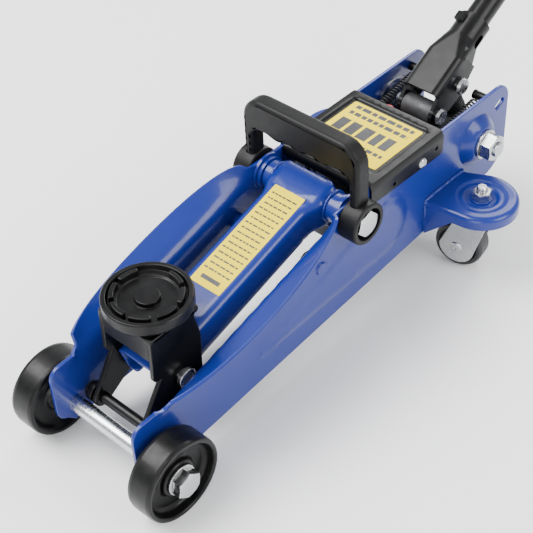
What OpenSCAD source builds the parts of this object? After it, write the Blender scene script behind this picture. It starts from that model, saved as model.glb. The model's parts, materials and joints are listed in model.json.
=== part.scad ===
// Small hydraulic trolley jack: steel side plates, lifting arm, turning saddle,
// hydraulic unit, pump handle, carry handle, front wheels and rear casters.
// +X points to the saddle end, +Y to the jack's left, +Z up; the floor is z = 0.
// Millimetres. Shapes are drawn from the arm pivot's X and moved by in_frame().

/* [Lift] */
// Height of the saddle's top when the jack is down
low_height = 127; // [120:0.5:127]
// Height of the saddle's top when the jack is fully raised
high_height = 305; // [260:1:306]
// Distance from the arm pivot to the saddle pin
arm_length = 162.6; // [162:0.1:164]
// Height of the arm pivot above the floor
pivot_z = 112; // [111.5:0.1:112.5]

/* [Frame] */
// Distance from the arm pivot forward to the front axle
axle_x = 201.6; // [201:0.1:203]
// Distance between the inner faces of the side plates
plate_gap = 77; // [77:0.1:77.4]
// Thickness of the side plates
plate_t = 3; // [2.5:0.1:3]
// Height of the side plates' straight top edge
plate_top = 123.5; // [123:0.1:124]
// Width of a side plate's flared lip in the middle, from its bend to its free edge
lip_wide = 27.5; // [22:0.5:30]

/* [Wheels] */
// Radius of the front wheels
wheel_r = 32; // [31:0.1:32]
// Width of the front wheels
wheel_w = 20.7; // [18:0.1:21]
// Radius of the caster wheels
caster_r = 20; // [18:0.5:20.5]
// Distance from a caster's swivel axis to its wheel's axle
caster_trail = 13; // [10:0.5:13]

/* [Saddle] */
// Outer radius of the saddle's rim
saddle_r = 31; // [28:0.5:31.5]
// Number of lug places on the saddle, one of them left open
saddle_lugs = 8; // [8:2:10]

/* [Handle] */
// Angle of the pump handle above the horizontal at rest
handle_tilt = 29; // [28:0.5:30]
// Distance from the fulcrum pin to the far end of the handle grip
handle_reach = 432; // [300:1:600]
// Radius of the handle rod
rod_r = 10; // [9.5:0.1:10]

/* [Hidden] */
$fn = 48;

// Colours
jack_blue = [0.05, 0.12, 0.50];
black_paint = [0.07, 0.07, 0.08];
black_plastic = [0.10, 0.10, 0.10];
zinc = [0.78, 0.80, 0.82];
steel = [0.60, 0.61, 0.63];
cast_grey = [0.35, 0.36, 0.38];
label_yellow = [0.95, 0.82, 0.22];
seal_black = [0.03, 0.03, 0.03];
plug_red = [0.75, 0.08, 0.05];

// Fits
run_gap = 0.05;                     // radial gap of a pin that turns
slip_gap = 0.3;                     // side gap between parts that pass each other
past = 1;                           // how far a cutter runs past a face

// Side plates
plate_in = plate_gap / 2;
plate_out = plate_in + plate_t;
axle_r = 6;
bottom_front = [204, 16];           // lower front corner of a side plate
bottom_rear = [-168.5, 44.6];       // lower end of the rear curve
rear_x = -192;                      // rear edge of the side plates
lip_end_x = 17;                     // where the lip starts beside the pivot
lip_full_x = 194;                   // front end of the lip's lens outline
lip_cut_x = 188;                    // where the lip is cut off at the front
lip_turn = 65;                      // how far the lip is bent outward in the middle
lip_bend_r = 8;
lip_wide_end = 12.7;                // width of the lip at its rear end
bend_front_z = 65.5;                // bend line's height at lip_cut_x
bend_rear_z = 110.6;                // bend line's height at lip_end_x
lip_steps = 30;
lip_turns = 4;
bead_tip = [95, 50, 4];             // X, Z and radius of the bead's narrow end
bead_end = [-38, 75, 26];           // X, Z and radius of the bead's round end
bead_h = 2.4;

// Arm geometry, low position
saddle_pin_drop = 61;               // saddle top to saddle pin
saddle_pin_z = low_height - saddle_pin_drop;
arm_low = asin((saddle_pin_z - pivot_z) / arm_length);
arm_high = asin((high_height - saddle_pin_drop - pivot_z) / arm_length);
arm_travel = arm_high - arm_low;
saddle_x = arm_length * cos(arm_low);
link_dx = 33;                       // offset of the link pins from the arm's pins
link_dz = -27;
arm_half = 20;
arm_top = 14;                       // channel's top above the pin line
arm_bottom = -12;
arm_wall = 3;
arm_end = 176;
pin_r = 5;
link_pin_r = 4;
leg_in = 21;                        // saddle bracket legs
leg_out = 25;
link_y = 29.6;                      // centre plane of a link rod
shaft_r = 8;
tube_r = 11;
tube_half = 33;

// Ram
lever_r = 40;
lever_low = -arm_travel / 2;        // lever angle from straight down, jack low
lever_pin_x = lever_r * sin(lever_low);
lever_pin_z = pivot_z - lever_r * cos(lever_low);
ram_z = pivot_z - lever_r * (1 + cos(lever_low)) / 2;
ram_travel = 2 * lever_r * sin(arm_travel / 2);
ram_r = 9;
bore_r = 12;
cylinder_r = 16;
reservoir_r = 23;
block_front = -98;
block_rear = -190;
block_half = 22;
head_x = -46;                       // front face of the reservoir tube
stud_r = 26;                        // spring stud's distance from the pivot
spring_y = 29.5;
anchor = [-172, 113];

// Handle and pump
fulcrum = [-134.5, 110];
roller_arm = [30, -1];              // roller pin from the fulcrum, in the handle's own frame
socket_axis = 7;                    // rod axis above the fulcrum, in the handle's own frame
socket_r = 13;
socket_end = 80;
cheek_in = 13.2;
cheek_out = 16;
socket_front_u = -7;                // where the socket's channel ends in front, near the fulcrum
handle_up = 20;                     // travel of the handle above and below rest
handle_down = -25;
roller_r = 6;
roller_gap = 0.45;
roller_reach = norm(roller_arm);
roller_angle = handle_tilt + atan2(roller_arm[1], roller_arm[0]);
pump_lean = roller_angle + (handle_up + handle_down) / 2;
plunger_r = 5;
sleeve_r = 8;
grip_r = 14;
grip_chamfer = 2;
grip_len = 100;

// Casters
caster_x = -119;
caster_y = 71;
caster_rest = 10;                   // swivel angle of the casters as drawn
ear_top = 69;
ear_r = 29;
ear_t = 3;
fork_top = 61.5;
fork_half = 11;

// Carry handle
boss_r = 16.3;
boss_in = plate_out + 0.7;
boss_out = 58;
bail_t = 14;
bail_in = 44.4;
bail_out = 53;
bail_top = 176;
bail_window = 151;

// Cover
cover_rear = -105;
cover_front = -17.2;
cover_top = 125.4;
cover_t = 1.6;
cover_side = 105;                   // lower edge of the side flanges
front_flange = 117;                 // lower edge of the front flange
panel_x = [-99, -33];
panel_half = 36;

// The handle's far end and the front wheels set the middle of the whole jack.
front_end = axle_x + wheel_r;
grip_rise = socket_axis - grip_r + grip_chamfer;
rear_end = fulcrum[0] - handle_reach * cos(handle_tilt) + grip_rise * sin(handle_tilt);
pivot_x = -(front_end + rear_end) / 2;

// ---------- helpers ----------

module in_frame() translate([pivot_x, 0, 0]) children();

module on_side(side) mirror([0, side > 0 ? 0 : 1, 0]) children();

module at_xz(x, z) translate([x, 0, z]) children();

// Round rod along Y between two Y positions
module y_rod(r, y0, y1) translate([0, y1, 0]) rotate([90, 0, 0]) cylinder(r = r, h = y1 - y0);

// Round rod along X between two X positions
module x_rod(r, x0, x1) translate([x0, 0, 0]) rotate([0, 90, 0]) cylinder(r = r, h = x1 - x0);

// Upright plate: an outline in X and Z, between two Y positions
module xz_plate(y0, y1) translate([0, y1, 0]) rotate([90, 0, 0]) linear_extrude(y1 - y0) children();

module y_cone(r0, r1, y0, y1) {
    translate([0, y0, 0]) rotate([-90, 0, 0]) cylinder(r1 = r0, r2 = r1, h = y1 - y0);
}

module y_ring(r_in, r_out, y0, y1) {
    difference() {
        y_rod(r_out, y0, y1);
        y_rod(r_in, y0 - past, y1 + past);
    }
}

// Hexagon across the flats, along Y
module y_hex(flats, y0, y1) {
    translate([0, y1, 0]) rotate([90, 0, 0]) cylinder(r = flats / sqrt(3), h = y1 - y0, $fn = 6);
}

function arc(x, z, r, a0, a1, n = 8) = [for (i = [0:n]) let (a = a0 + (a1 - a0) * i / n)
    [x + r * cos(a), z + r * sin(a)]];

// ---------- side plates ----------

function bend_z(x) = bend_front_z + (bend_rear_z - bend_front_z) * (lip_cut_x - x)
    / (lip_cut_x - lip_end_x);

// 0 at both ends of the lip's lens outline, 1 in the middle
function lip_swell(x) = let (t = 2 * (x - lip_end_x) / (lip_full_x - lip_end_x) - 1)
    sqrt(max(0.001, 1 - t * t));

// Point of the lip's section: t runs 0 to lip_turns over the bend, one more is the free edge
function lip_point(x, t, off) = let (swell = lip_swell(x), turn = lip_turn * pow(swell, 0.8),
    a = turn * min(t, lip_turns) / lip_turns,
    flange = t > lip_turns ? lip_wide_end + (lip_wide - lip_wide_end)
        * swell - lip_bend_r * turn * PI / 180 : 0)
    [x, plate_in + plate_t / 2 + lip_bend_r * (1 - cos(a)) + flange * sin(a) + off * cos(a),
        bend_z(x) + lip_bend_r * sin(a) + flange * cos(a) - off * sin(a)];

// The section starts a little below the bend line, inside the flat plate
function lip_section(x) = let (h = plate_t / 2, mid = plate_in + h, z0 = bend_z(x) - 2) concat(
    [[x, mid + h, z0]], [for (t = [0:lip_turns + 1]) lip_point(x, t, h)],
    [for (t = [lip_turns + 1:-1:0]) lip_point(x, t, -h)], [[x, mid - h, z0]]);

module flared_lip() {
    n = 2 * lip_turns + 6;
    xs = [for (i = [0:lip_steps]) let (a = 180 * i / lip_steps)
        lip_end_x + (lip_cut_x - lip_end_x) * (1 - cos(a)) / 2];
    points = [for (x = xs) each lip_section(x)];
    sides = [for (i = [0:lip_steps - 1]) for (j = [0:n - 1]) let (k = (j + 1) % n)
        each [[i * n + j, (i + 1) * n + k, i * n + k], [i * n + j, (i + 1) * n + j, (i + 1) * n + k]]];
    first = [for (j = [0:n - 1]) j];
    last = [for (j = [n - 1:-1:0]) lip_steps * n + j];
    polyhedron(points, concat(sides, [first, last]), convexity = 4);
}

module plate_outline() {
    polygon(concat([bottom_front],
        arc(206, 33, 11, -70, 0), arc(207, 62, 10, 0, 90), [[lip_cut_x, 72],
            [lip_cut_x, bend_z(lip_cut_x)]],
        [[lip_end_x + 0.5, bend_z(lip_end_x + 0.5)], [lip_end_x + 0.5, plate_top]],
        arc(rear_x + 15, plate_top - 15, 15, 90, 180), arc(rear_x + 26, 70, 26, 180, 265)));
}

// Pressed bead: a teardrop that is raised outside and hollow inside
module bead(y0, y1, slope) {
    hull() for (p = [bead_tip, bead_end]) at_xz(p[0], p[1]) y_cone(p[2], p[2] - slope, y0, y1, $fn = 32);
}

module side_plate(side) {
    on_side(side) difference() {
        union() {
            xz_plate(plate_in, plate_out) plate_outline();
            flared_lip();
            bead(plate_out - 0.1, plate_out + bead_h, 2.4);
            at_xz(trunnion[0], trunnion[1]) y_cone(21, 14, plate_out - 0.1, trunnion_y);
        }
        bead(plate_in - past, plate_in + bead_h, 3.4);
        at_xz(trunnion[0], trunnion[1]) y_cone(20, 11, plate_in - past, trunnion_y - plate_t);
        at_xz(axle_x, wheel_r) y_rod(axle_r, plate_in - past, plate_out + past);
        at_xz(0, pivot_z) y_rod(shaft_r, plate_in - past, plate_out + past);
        at_xz(link_dx, pivot_z + link_dz) y_rod(link_pin_r, plate_in - past, plate_out + past);
        at_xz(trunnion[0], trunnion[1]) y_rod(trunnion_r, plate_in - past, trunnion_y + past);
        at_xz(cover_screw[0], cover_screw[1]) y_rod(screw_r, plate_in - past, plate_out + past);
        at_xz(slot[0], slot[1]) rotate([0, 25, 0]) xz_plate(plate_in - past, plate_out + past)
            polygon(concat(arc(3.2, 0, 2.8, -90, 90), arc(-3.2, 0, 2.8, 90, 270)));
    }
}

module side_plate_left() color(jack_blue) in_frame() side_plate(1);
module side_plate_right() color(jack_blue) in_frame() side_plate(-1);

// ---------- caster brackets ----------

module ear_outline(inset) {
    polygon(concat([[-86 - inset, plate_out], [-136 + inset, plate_out]],
        arc(caster_x, caster_y, ear_r - inset, 200, 10, 24)));
}

module caster_bracket(side) {
    low = 37;
    rim_z = 59;
    on_side(side) difference() {
        translate([0, 0, low]) linear_extrude(ear_top - low) ear_outline(0);
        difference() {
            translate([0, 0, low - past]) linear_extrude(ear_top - ear_t - low + past) ear_outline(ear_t);
            translate([caster_x, caster_y, ear_top - 6]) cylinder(r1 = 14, r2 = 18, h = 4);
        }
        translate([caster_x, caster_y, ear_top - 2.6]) cylinder(r1 = 12, r2 = 15, h = 2.7);
        translate([caster_x, caster_y, low]) cylinder(r = kingpin_r, h = 40);
        translate([-200, 0, 0]) rotate([90, 0, 90]) linear_extrude(200)
            polygon([[plate_out, low - past], [plate_out, low], [plate_out + 24, rim_z], [120, rim_z],
                [120, low - past]]);
    }
}

module caster_bracket_left() color(jack_blue) in_frame() caster_bracket(1);
module caster_bracket_right() color(jack_blue) in_frame() caster_bracket(-1);

// ---------- casters ----------

kingpin_r = 4;

module at_caster_wheel(side) {
    on_side(side) translate([caster_x, caster_y, caster_r]) rotate(caster_rest)
        translate([0, -caster_trail, 0]) children();
}

module caster_fork(side) {
    on_side(side) translate([caster_x, caster_y, 0]) rotate(caster_rest) difference() {
        union() {
            translate([0, 0, fork_top - 2.5]) cylinder(r = 17, h = 2.5);
            for (x = [-fork_half, fork_half - 2]) translate([x, 0, 0]) rotate([90, 0, 90])
                linear_extrude(2) {
                translate([-caster_trail, caster_r]) circle(r = 14.5);
                polygon([[-12, fork_top], [12, fork_top], [9, 44], [-caster_trail + 13.9, caster_r - 4],
                    [-caster_trail - 13.9, caster_r + 4]]);
            }
        }
        translate([0, 0, fork_top - 4]) cylinder(r = kingpin_r + run_gap, h = 6);
        translate([0, -caster_trail, caster_r]) x_rod(3, -fork_half - past, fork_half + past);
    }
}

module caster_axle(side) {
    at_caster_wheel(side) union() {
        x_rod(3, -fork_half - 1.6, fork_half + 1.6);
        for (m = [0, 1]) mirror([m, 0, 0]) translate([fork_half, 0, 0]) rotate([0, 90, 0])
            cylinder(r1 = 5, r2 = 3.6, h = 1.6);
    }
}

module caster_wheel(side) {
    w = 8.4;
    at_caster_wheel(side) rotate([0, 90, 0]) rotate_extrude()
        polygon([[3 + run_gap, -w], [8, -w], [9, -w + 2], [15, -w + 2], [16, -w], [caster_r - 1.5, -w],
            [caster_r, -w + 2.5], [caster_r, w - 2.5], [caster_r - 1.5, w], [16, w], [15, w - 2],
                [9, w - 2],
            [8, w], [3 + run_gap, w]]);
}

module caster_fork_left() color(zinc) in_frame() caster_fork(1);
module caster_fork_right() color(zinc) in_frame() caster_fork(-1);
module caster_axle_left() color(zinc) in_frame() caster_axle(1);
module caster_axle_right() color(zinc) in_frame() caster_axle(-1);
module caster_wheel_left() color(seal_black) in_frame() caster_wheel(1);
module caster_wheel_right() color(seal_black) in_frame() caster_wheel(-1);

module caster_kingpins() {
    color(zinc) in_frame() for (side = [1, -1]) on_side(side) translate([caster_x, caster_y, 0]) union() {
        translate([0, 0, fork_top - 5.8]) cylinder(r = 8, h = 3);
        translate([0, 0, fork_top - 5.8]) cylinder(r = kingpin_r, h = ear_top - fork_top + 15.2);
    }
}

module caster_nuts() {
    seat = ear_top - 2.6;
    color(zinc) in_frame() for (side = [1, -1]) on_side(side) translate([caster_x, caster_y, 0])
        difference() {
        union() {
            translate([0, 0, seat]) cylinder(r = 8, h = 1.4);
            translate([0, 0, seat + 1.4]) cylinder(r = 6.5 / cos(30), h = 6.6, $fn = 6);
            translate([0, 0, fork_top + slip_gap]) cylinder(r = 12, h = ear_top - 6 - fork_top - slip_gap);
        }
        translate([0, 0, fork_top - past]) cylinder(r = kingpin_r, h = 22);
    }
}

// ---------- front axle and wheels ----------

wheel_mid = 58;
axle_bolt_r = 4;

module front_axle() {
    end = wheel_mid + wheel_w / 2 - 2;
    color(zinc) in_frame() at_xz(axle_x, wheel_r) difference() {
        y_rod(axle_r, -end, end);
        for (side = [1, -1]) on_side(side) y_rod(axle_bolt_r, end - 18, end + past);
    }
}

module front_axle_washers() {
    inner = wheel_mid - wheel_w / 2 + 3;
    color(zinc) in_frame() at_xz(axle_x, wheel_r) for (side = [1, -1]) on_side(side) {
        y_ring(axle_r, 11.5, plate_out, plate_out + 2);
        y_ring(axle_r, 9.5, plate_out + 2, inner - slip_gap);
        y_ring(axle_r, 11.5, wheel_mid + wheel_w / 2 - 4 + slip_gap, wheel_mid + wheel_w / 2 - 2);
    }
}

module front_axle_bolts() {
    seat = wheel_mid + wheel_w / 2 - 2;
    color(zinc) in_frame() at_xz(axle_x, wheel_r) for (side = [1, -1]) on_side(side) union() {
        y_rod(axle_bolt_r, seat - 16, seat + 1);
        intersection() {
            y_hex(18, seat, seat + 7.6);
            y_cone(22, 10, seat - 7, seat + 7.7);
        }
    }
}

// Wheel section in radius and Y: crowned tread, dished outer face, round hub
module front_wheel(side) {
    h = wheel_w / 2;
    in_frame() at_xz(axle_x, wheel_r) translate([0, side * wheel_mid, 0]) rotate([side * -90, 0, 0])
        rotate_extrude($fn = 96)
        polygon([[axle_r + run_gap, -h + 3], [12, -h + 3], [14, -h + 6], [25, -h + 6], [27, -h + 1.5],
            [28.4, -h],
            [wheel_r - 2, -h], [wheel_r - 0.5, -h + 1], [wheel_r, -h + 3], [wheel_r, h - 3],
            [wheel_r - 0.5, h - 1], [wheel_r - 2, h], [29, h], [28.2, h - 0.8], [27.4, h - 6.5],
            [25.4, h - 8.4], [15.6, h - 8.6], [14.5, h - 7.6], [14, h - 4.8], [13, h - 4],
                [axle_r + run_gap, h - 4]]);
}

module front_wheel_left() color(black_paint) front_wheel(1);
module front_wheel_right() color(black_paint) front_wheel(-1);

// ---------- arm pivot ----------

bolt_r = 5.5;
bolt_head_y = 50.4;

module pivot_shaft() {
    color(steel) in_frame() at_xz(0, pivot_z) difference() {
        y_rod(shaft_r, -plate_out, plate_out);
        for (side = [1, -1]) on_side(side) y_rod(bolt_r, 20, plate_out + past);
    }
}

module pivot_bolts() {
    color(zinc) in_frame() at_xz(0, pivot_z) for (side = [1, -1]) on_side(side) {
        y_rod(bolt_r, 22, bolt_head_y + 0.5);
        y_rod(11, bolt_head_y, bolt_head_y + 1.6);
        intersection() {
            y_hex(18.6, bolt_head_y + 1.6, bolt_head_y + 7.4);
            y_cone(22.5, 9.6, bolt_head_y - 6.2, bolt_head_y + 7.5);
        }
    }
}

module pivot_collars() {
    color(jack_blue) in_frame() at_xz(0, pivot_z) for (side = [1, -1]) on_side(side) difference() {
        union() {
            y_rod(14.5, plate_in - 2, plate_in);
            y_rod(12.5, tube_half + slip_gap, plate_in - 2);
        }
        y_rod(shaft_r, tube_half, plate_in + past);
    }
}

// ---------- lifting arm ----------

module in_arm() translate([0, 0, pivot_z]) rotate([0, -arm_low, 0]) children();

// Channel section in Y and up: rounded top edges, lips turned in at the bottom
module channel_section() {
    r = 5;
    difference() {
        polygon(concat(arc(arm_half - r, arm_top - r, r, 0, 90), arc(-arm_half + r, arm_top - r, r, 90,
            180),
            arc(-arm_half + 2, arm_bottom + 2, 2, 180, 270, 4), arc(arm_half - 2, arm_bottom + 2, 2,
                270, 360, 4)));
        polygon(concat(arc(arm_half - r, arm_top - r, r - arm_wall, 0, 90),
            arc(-arm_half + r, arm_top - r, r - arm_wall, 90, 180),
            [[-arm_half + arm_wall, arm_bottom + arm_wall], [arm_half - arm_wall, arm_bottom + arm_wall]]));
        translate([-10, arm_bottom - past]) square([20, arm_wall + 2 * past]);
    }
}

// Wider rear block that wraps the pivot tube
module rear_block(inset) {
    polygon([[-10 + inset, -26 + inset], [8, -26 + inset], [24, -arm_half + inset], [24, arm_half - inset],
        [8, 26 - inset], [-10 + inset, 26 - inset]]);
}

module lever_outline() {
    circle(r = 13);
    rotate(lever_low - 90) {
        translate([lever_r, 0]) circle(r = 11);
        polygon([[0, -13], [lever_r + 2, -11], [lever_r + 2, 11], [0, 13]]);
    }
}

module lift_arm() {
    color(jack_blue) in_frame() difference() {
        union() {
            in_arm() {
                translate([20, 0, 0]) rotate([90, 0, 90]) linear_extrude(arm_end - 20) channel_section();
                intersection() {
                    difference() {
                        translate([0, 0, -10]) linear_extrude(arm_top + 10) rear_block(0);
                        translate([0, 0, -11]) linear_extrude(arm_top + 11 - arm_wall) rear_block(arm_wall);
                    }
                    union() {
                        y_rod(16, -30, 30);
                        translate([0, -30, -20]) cube([40, 60, 40]);
                    }
                }
            }
            at_xz(0, pivot_z) y_rod(tube_r, -tube_half, tube_half);
            for (side = [1, -1]) on_side(side) translate([0, 0, pivot_z]) xz_plate(13, 17) lever_outline();
        }
        at_xz(0, pivot_z) y_rod(shaft_r + run_gap, -tube_half - past, tube_half + past);
        in_arm() at_xz(arm_length, 0) y_rod(pin_r, -arm_half - past, arm_half + past);
        at_xz(lever_pin_x, lever_pin_z) y_rod(pin_r, -18, 18);
        at_xz(stud_r * sin(lever_low), pivot_z - stud_r * cos(lever_low)) y_rod(3, -18, 18);
        // Opening behind the lip for the lever plates
        in_arm() translate([20, -arm_half + arm_wall, arm_bottom - past])
            cube([10, 2 * (arm_half - arm_wall), arm_wall + 2 * past]);
    }
}

module arm_label() {
    color(label_yellow) in_frame() in_arm() translate([13, -14, arm_top])
        cube([94, 28, 0.3]);
}

module saddle_pin() {
    color(zinc) in_frame() in_arm() at_xz(arm_length, 0) {
        y_rod(pin_r, -leg_out - 2, leg_out + 2);
        for (side = [1, -1]) on_side(side) {
            y_rod(7.6, leg_out + 2, leg_out + 6);
            y_cone(7.6, 6.4, leg_out + 5.9, leg_out + 6.6);
        }
    }
}

module ram_pin() {
    color(zinc) in_frame() at_xz(lever_pin_x, lever_pin_z) {
        y_rod(pin_r, -17, 17);
        for (side = [1, -1]) on_side(side) y_rod(7, 17, 19);
    }
}

module spring_studs() {
    color(zinc) in_frame() at_xz(stud_r * sin(lever_low), pivot_z - stud_r * cos(lever_low))
        for (side = [1, -1]) on_side(side) {
            y_rod(3, 13, spring_y + 2);
            y_rod(4.4, spring_y + 1.6, spring_y + 3);
        }
}

// ---------- saddle bracket, saddle and links ----------

bracket_top = 114;
skirt_z = 93.5;                     // lower edge of the bracket's front skirt
stem_r = 8;
clip_z = bracket_top - 6.6;
low_pin = [saddle_x + link_dx, saddle_pin_z + link_dz];

module leg_outline() {
    difference() {
        union() {
            polygon([[134, bracket_top], [179, bracket_top], [179.5, 92], [181, 70],
                [low_pin[0] + 7.3, low_pin[1] + 3],
                [low_pin[0] - 3, low_pin[1] - 7], [164, 46], [137, 56], [135.5, 90]]);
            translate(low_pin) circle(r = 7.5);
        }
        translate([saddle_x, saddle_pin_z]) circle(r = pin_r + run_gap);
        translate(low_pin) circle(r = link_pin_r);
    }
}

module saddle_bracket() {
    color(black_paint) in_frame() union() {
        for (side = [1, -1]) on_side(side) xz_plate(leg_in, leg_out) leg_outline();
        difference() {
            translate([134, -leg_out, bracket_top - 4]) cube([45, 2 * leg_out, 4]);
            translate([saddle_x, 0, 100]) cylinder(r = stem_r + run_gap, h = 20);
        }
        translate([175.5, -leg_out, skirt_z]) cube([3.5, 2 * leg_out, bracket_top - skirt_z]);
    }
}

module link_front_pin() {
    color(black_paint) in_frame() at_xz(low_pin[0], low_pin[1]) {
        y_rod(link_pin_r, -link_y - 5, link_y + 5);
        for (side = [1, -1]) on_side(side) y_rod(6, link_y + 3.4 + slip_gap, link_y + 5.2);
    }
}

module saddle() {
    base = bracket_top + slip_gap;
    floor_z = 121;
    ledge_z = low_height - 5;
    lug_in = 0.69 * saddle_r;
    lug_out = 0.82 * saddle_r;
    place = 360 / saddle_lugs;
    gap = 9;
    first = -123;
    color(black_paint) in_frame() translate([saddle_x, 0, 0]) union() {
        rotate_extrude($fn = 96) polygon([[0, clip_z - 0.8], [6, clip_z - 0.8], [6, clip_z + 2.1],
            [stem_r, clip_z + 2.1],
            [stem_r, base], [saddle_r - 5, base], [saddle_r - 1, base + 2], [saddle_r, base + 3.5],
            [saddle_r, low_height - 1.8], [saddle_r - 0.8, low_height - 1], [lug_out + 1.8, low_height - 1],
            [lug_out + 1, low_height - 2], [lug_out + 0.8, ledge_z], [lug_in, ledge_z],
                [lug_in - 1, floor_z],
            [9.2, floor_z], [8.8, floor_z + 2.6], [8.2, floor_z + 3.2], [0, floor_z + 3.2]]);
        for (i = [0:saddle_lugs - 2]) rotate(first + place * i + gap / 2)
            rotate_extrude(angle = place - gap, $fn = 96)
                polygon([[lug_in, ledge_z - 0.2], [lug_out, ledge_z - 0.2],
                    [lug_out - 0.3, low_height - 0.6],
                    [lug_out - 0.9, low_height], [lug_in + 1.1, low_height],
                        [lug_in + 0.5, low_height - 0.6]]);
    }
}

module saddle_retainer() {
    color(zinc) in_frame() translate([saddle_x, 0, clip_z]) difference() {
        cylinder(r = 11, h = 2.1);
        translate([0, 0, -past]) cylinder(r = 6, h = 5);
    }
}

module link_rod(side) {
    reach = norm([saddle_x, saddle_pin_z - pivot_z]);
    on_side(side) translate([link_dx, link_y, pivot_z + link_dz]) rotate([0, -arm_low, 0]) difference() {
        union() {
            x_rod(3.4, 0, reach);
            for (x = [0, reach]) at_xz(x, 0) y_rod(7.4, -2.6, 2.6);
        }
        for (x = [0, reach]) at_xz(x, 0) y_rod(link_pin_r + run_gap, -4, 4);
    }
}

module link_rod_left() color(black_paint) in_frame() link_rod(1);
module link_rod_right() color(black_paint) in_frame() link_rod(-1);

module link_frame_pins() {
    color(jack_blue) in_frame() at_xz(link_dx, pivot_z + link_dz) for (side = [1, -1]) on_side(side) {
        y_rod(link_pin_r, link_y - 3.2, plate_out + 0.5);
        y_rod(6.5, link_y + 3.4 + slip_gap, plate_in);
        y_cone(5.4, 4.4, plate_out, plate_out + 1.4);
    }
}

// ---------- hydraulic unit ----------

trunnion = [-151, 89.5];
trunnion_y = 49;
trunnion_r = 6;
anchor_r = 3.5;
cover_screw = [-79.5, 111];
screw_r = 2;
slot = [-180, 107];
pump_mouth = 23;                    // roller centre at mid stroke to the sleeve's mouth
pump_seat = 37;                     // and to the spring's seat
pump_bottom = 56;                   // and to the bottom of the bore
mid_roller = [fulcrum[0] - roller_reach * cos(pump_lean), fulcrum[1] + roller_reach * sin(pump_lean)];
valve = [12, 60];                   // Y and Z of the release valve

// Frame with its Z along the pump's bore, its origin at the roller's centre at mid stroke
module in_pump() translate([mid_roller[0], 0, mid_roller[1]]) rotate([0, pump_lean, 0]) children();

module block_outline() {
    polygon([[block_front, 54], [block_front, 102], [-119, 102], [-121, 96], [-154, 96], [-159, 92],
        [-164, 85],
        [-168, 81.5], [-178, 79], [block_rear, 76], [block_rear, 53], [block_rear + 3, 50],
            [block_front - 4, 50]]);
}

module pump_block() {
    color(cast_grey) in_frame() difference() {
        union() {
            xz_plate(-block_half, block_half) block_outline();
            at_xz(fulcrum[0], fulcrum[1]) y_rod(9, -cheek_in + slip_gap, cheek_in - slip_gap);
            translate([fulcrum[0] - 8, -cheek_in + slip_gap, 90])
                cube([16, 2 * (cheek_in - slip_gap), fulcrum[1] - 90]);
            at_xz(trunnion[0], trunnion[1]) for (side = [1, -1]) on_side(side) y_rod(10.5, 18, block_half);
            translate([0, 0, ram_z]) x_rod(reservoir_r + 3, block_front - 10, block_front + 4);
            in_pump() translate([0, 0, -pump_bottom - 4]) cylinder(r = 10, h = pump_bottom + 4 - pump_seat);
            in_pump() translate([0, 0, -pump_bottom]) cylinder(r = sleeve_r, h = pump_bottom - pump_mouth);
        }
        translate([0, 0, ram_z]) x_rod(bore_r, block_front - 10, block_front + 10);
        translate([0, 0, ram_z]) x_rod(reservoir_r, block_front, block_front + 10);
        at_xz(trunnion[0], trunnion[1]) for (side = [1, -1]) on_side(side) y_rod(trunnion_r, 9, 40);
        at_xz(fulcrum[0], fulcrum[1]) y_rod(pin_r, -30, 30);
        in_pump() translate([0, 0, -pump_bottom]) cylinder(r = plunger_r + run_gap, h = 60);
        translate([0, valve[0], valve[1]]) x_rod(5 + run_gap, block_rear - past, block_rear + 30);
        translate([plug[0], plug[1], 92]) cylinder(r = 4, h = 30);
        for (p = ball_seats) translate(p) sphere(r = ball_r + run_gap);
    }
}

plug = [-112, -15];
ball_r = 3;
ball_seats = [[-120, 0, 66], [-120, 0, 84], [-142, 0, 66]];

module check_valve_balls() {
    color(steel) in_frame() for (p = ball_seats) translate(p) sphere(r = ball_r);
}

module pressure_cylinder() {
    color(steel) in_frame() translate([0, 0, ram_z]) difference() {
        x_rod(cylinder_r, block_front, head_x);
        x_rod(bore_r, block_front - past, head_x + past);
    }
}

module reservoir_tube() {
    color(black_paint) in_frame() translate([0, 0, ram_z]) difference() {
        x_rod(reservoir_r, block_front, head_x);
        x_rod(reservoir_r - 2, block_front - past, head_x + past);
    }
}

module cylinder_head() {
    color(cast_grey) in_frame() translate([0, 0, ram_z]) difference() {
        union() {
            x_rod(reservoir_r, head_x, head_x + 3);
            x_rod(17, head_x, head_x + 5.5);
            x_rod(bore_r, head_x - 7, head_x);
        }
        x_rod(ram_r + run_gap, head_x - 10, head_x + 10);
        x_rod(ram_r + 2, head_x - 5, head_x - 2);
    }
}

module head_seal() {
    color(seal_black) in_frame() translate([0, 0, ram_z]) difference() {
        x_rod(ram_r + 2, head_x - 5, head_x - 2);
        x_rod(ram_r + run_gap, head_x - 6, head_x);
    }
}

module trunnion_bolts() {
    head = trunnion_y + 2.4;
    color(zinc) in_frame() at_xz(trunnion[0], trunnion[1]) for (side = [1, -1]) on_side(side) {
        y_rod(trunnion_r, 9.5, head + 0.5);
        intersection() {
            y_hex(19, head, head + 10);
            y_cone(25, 10, head - 10, head + 10.1);
        }
        y_cone(trunnion_r, 5, head + 9.9, head + 12);
    }
}

module trunnion_washers() {
    color(zinc) in_frame() at_xz(trunnion[0], trunnion[1]) for (side = [1, -1]) on_side(side) {
        y_ring(trunnion_r, 12, trunnion_y, trunnion_y + 2.4);
        y_ring(trunnion_r, 9.5, block_half, trunnion_y - plate_t);
    }
}

module filler_plug() {
    color(plug_red) in_frame() translate([plug[0], plug[1], 0]) union() {
        translate([0, 0, 94]) cylinder(r = 4, h = 12);
        translate([0, 0, 102]) cylinder(r = 6, h = 12);
        translate([0, 0, 114]) cylinder(r1 = 6, r2 = 4.4, h = 2);
    }
}

yoke_rear = lever_pin_x - 16;

piston_x = block_front - 9.5;

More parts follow.
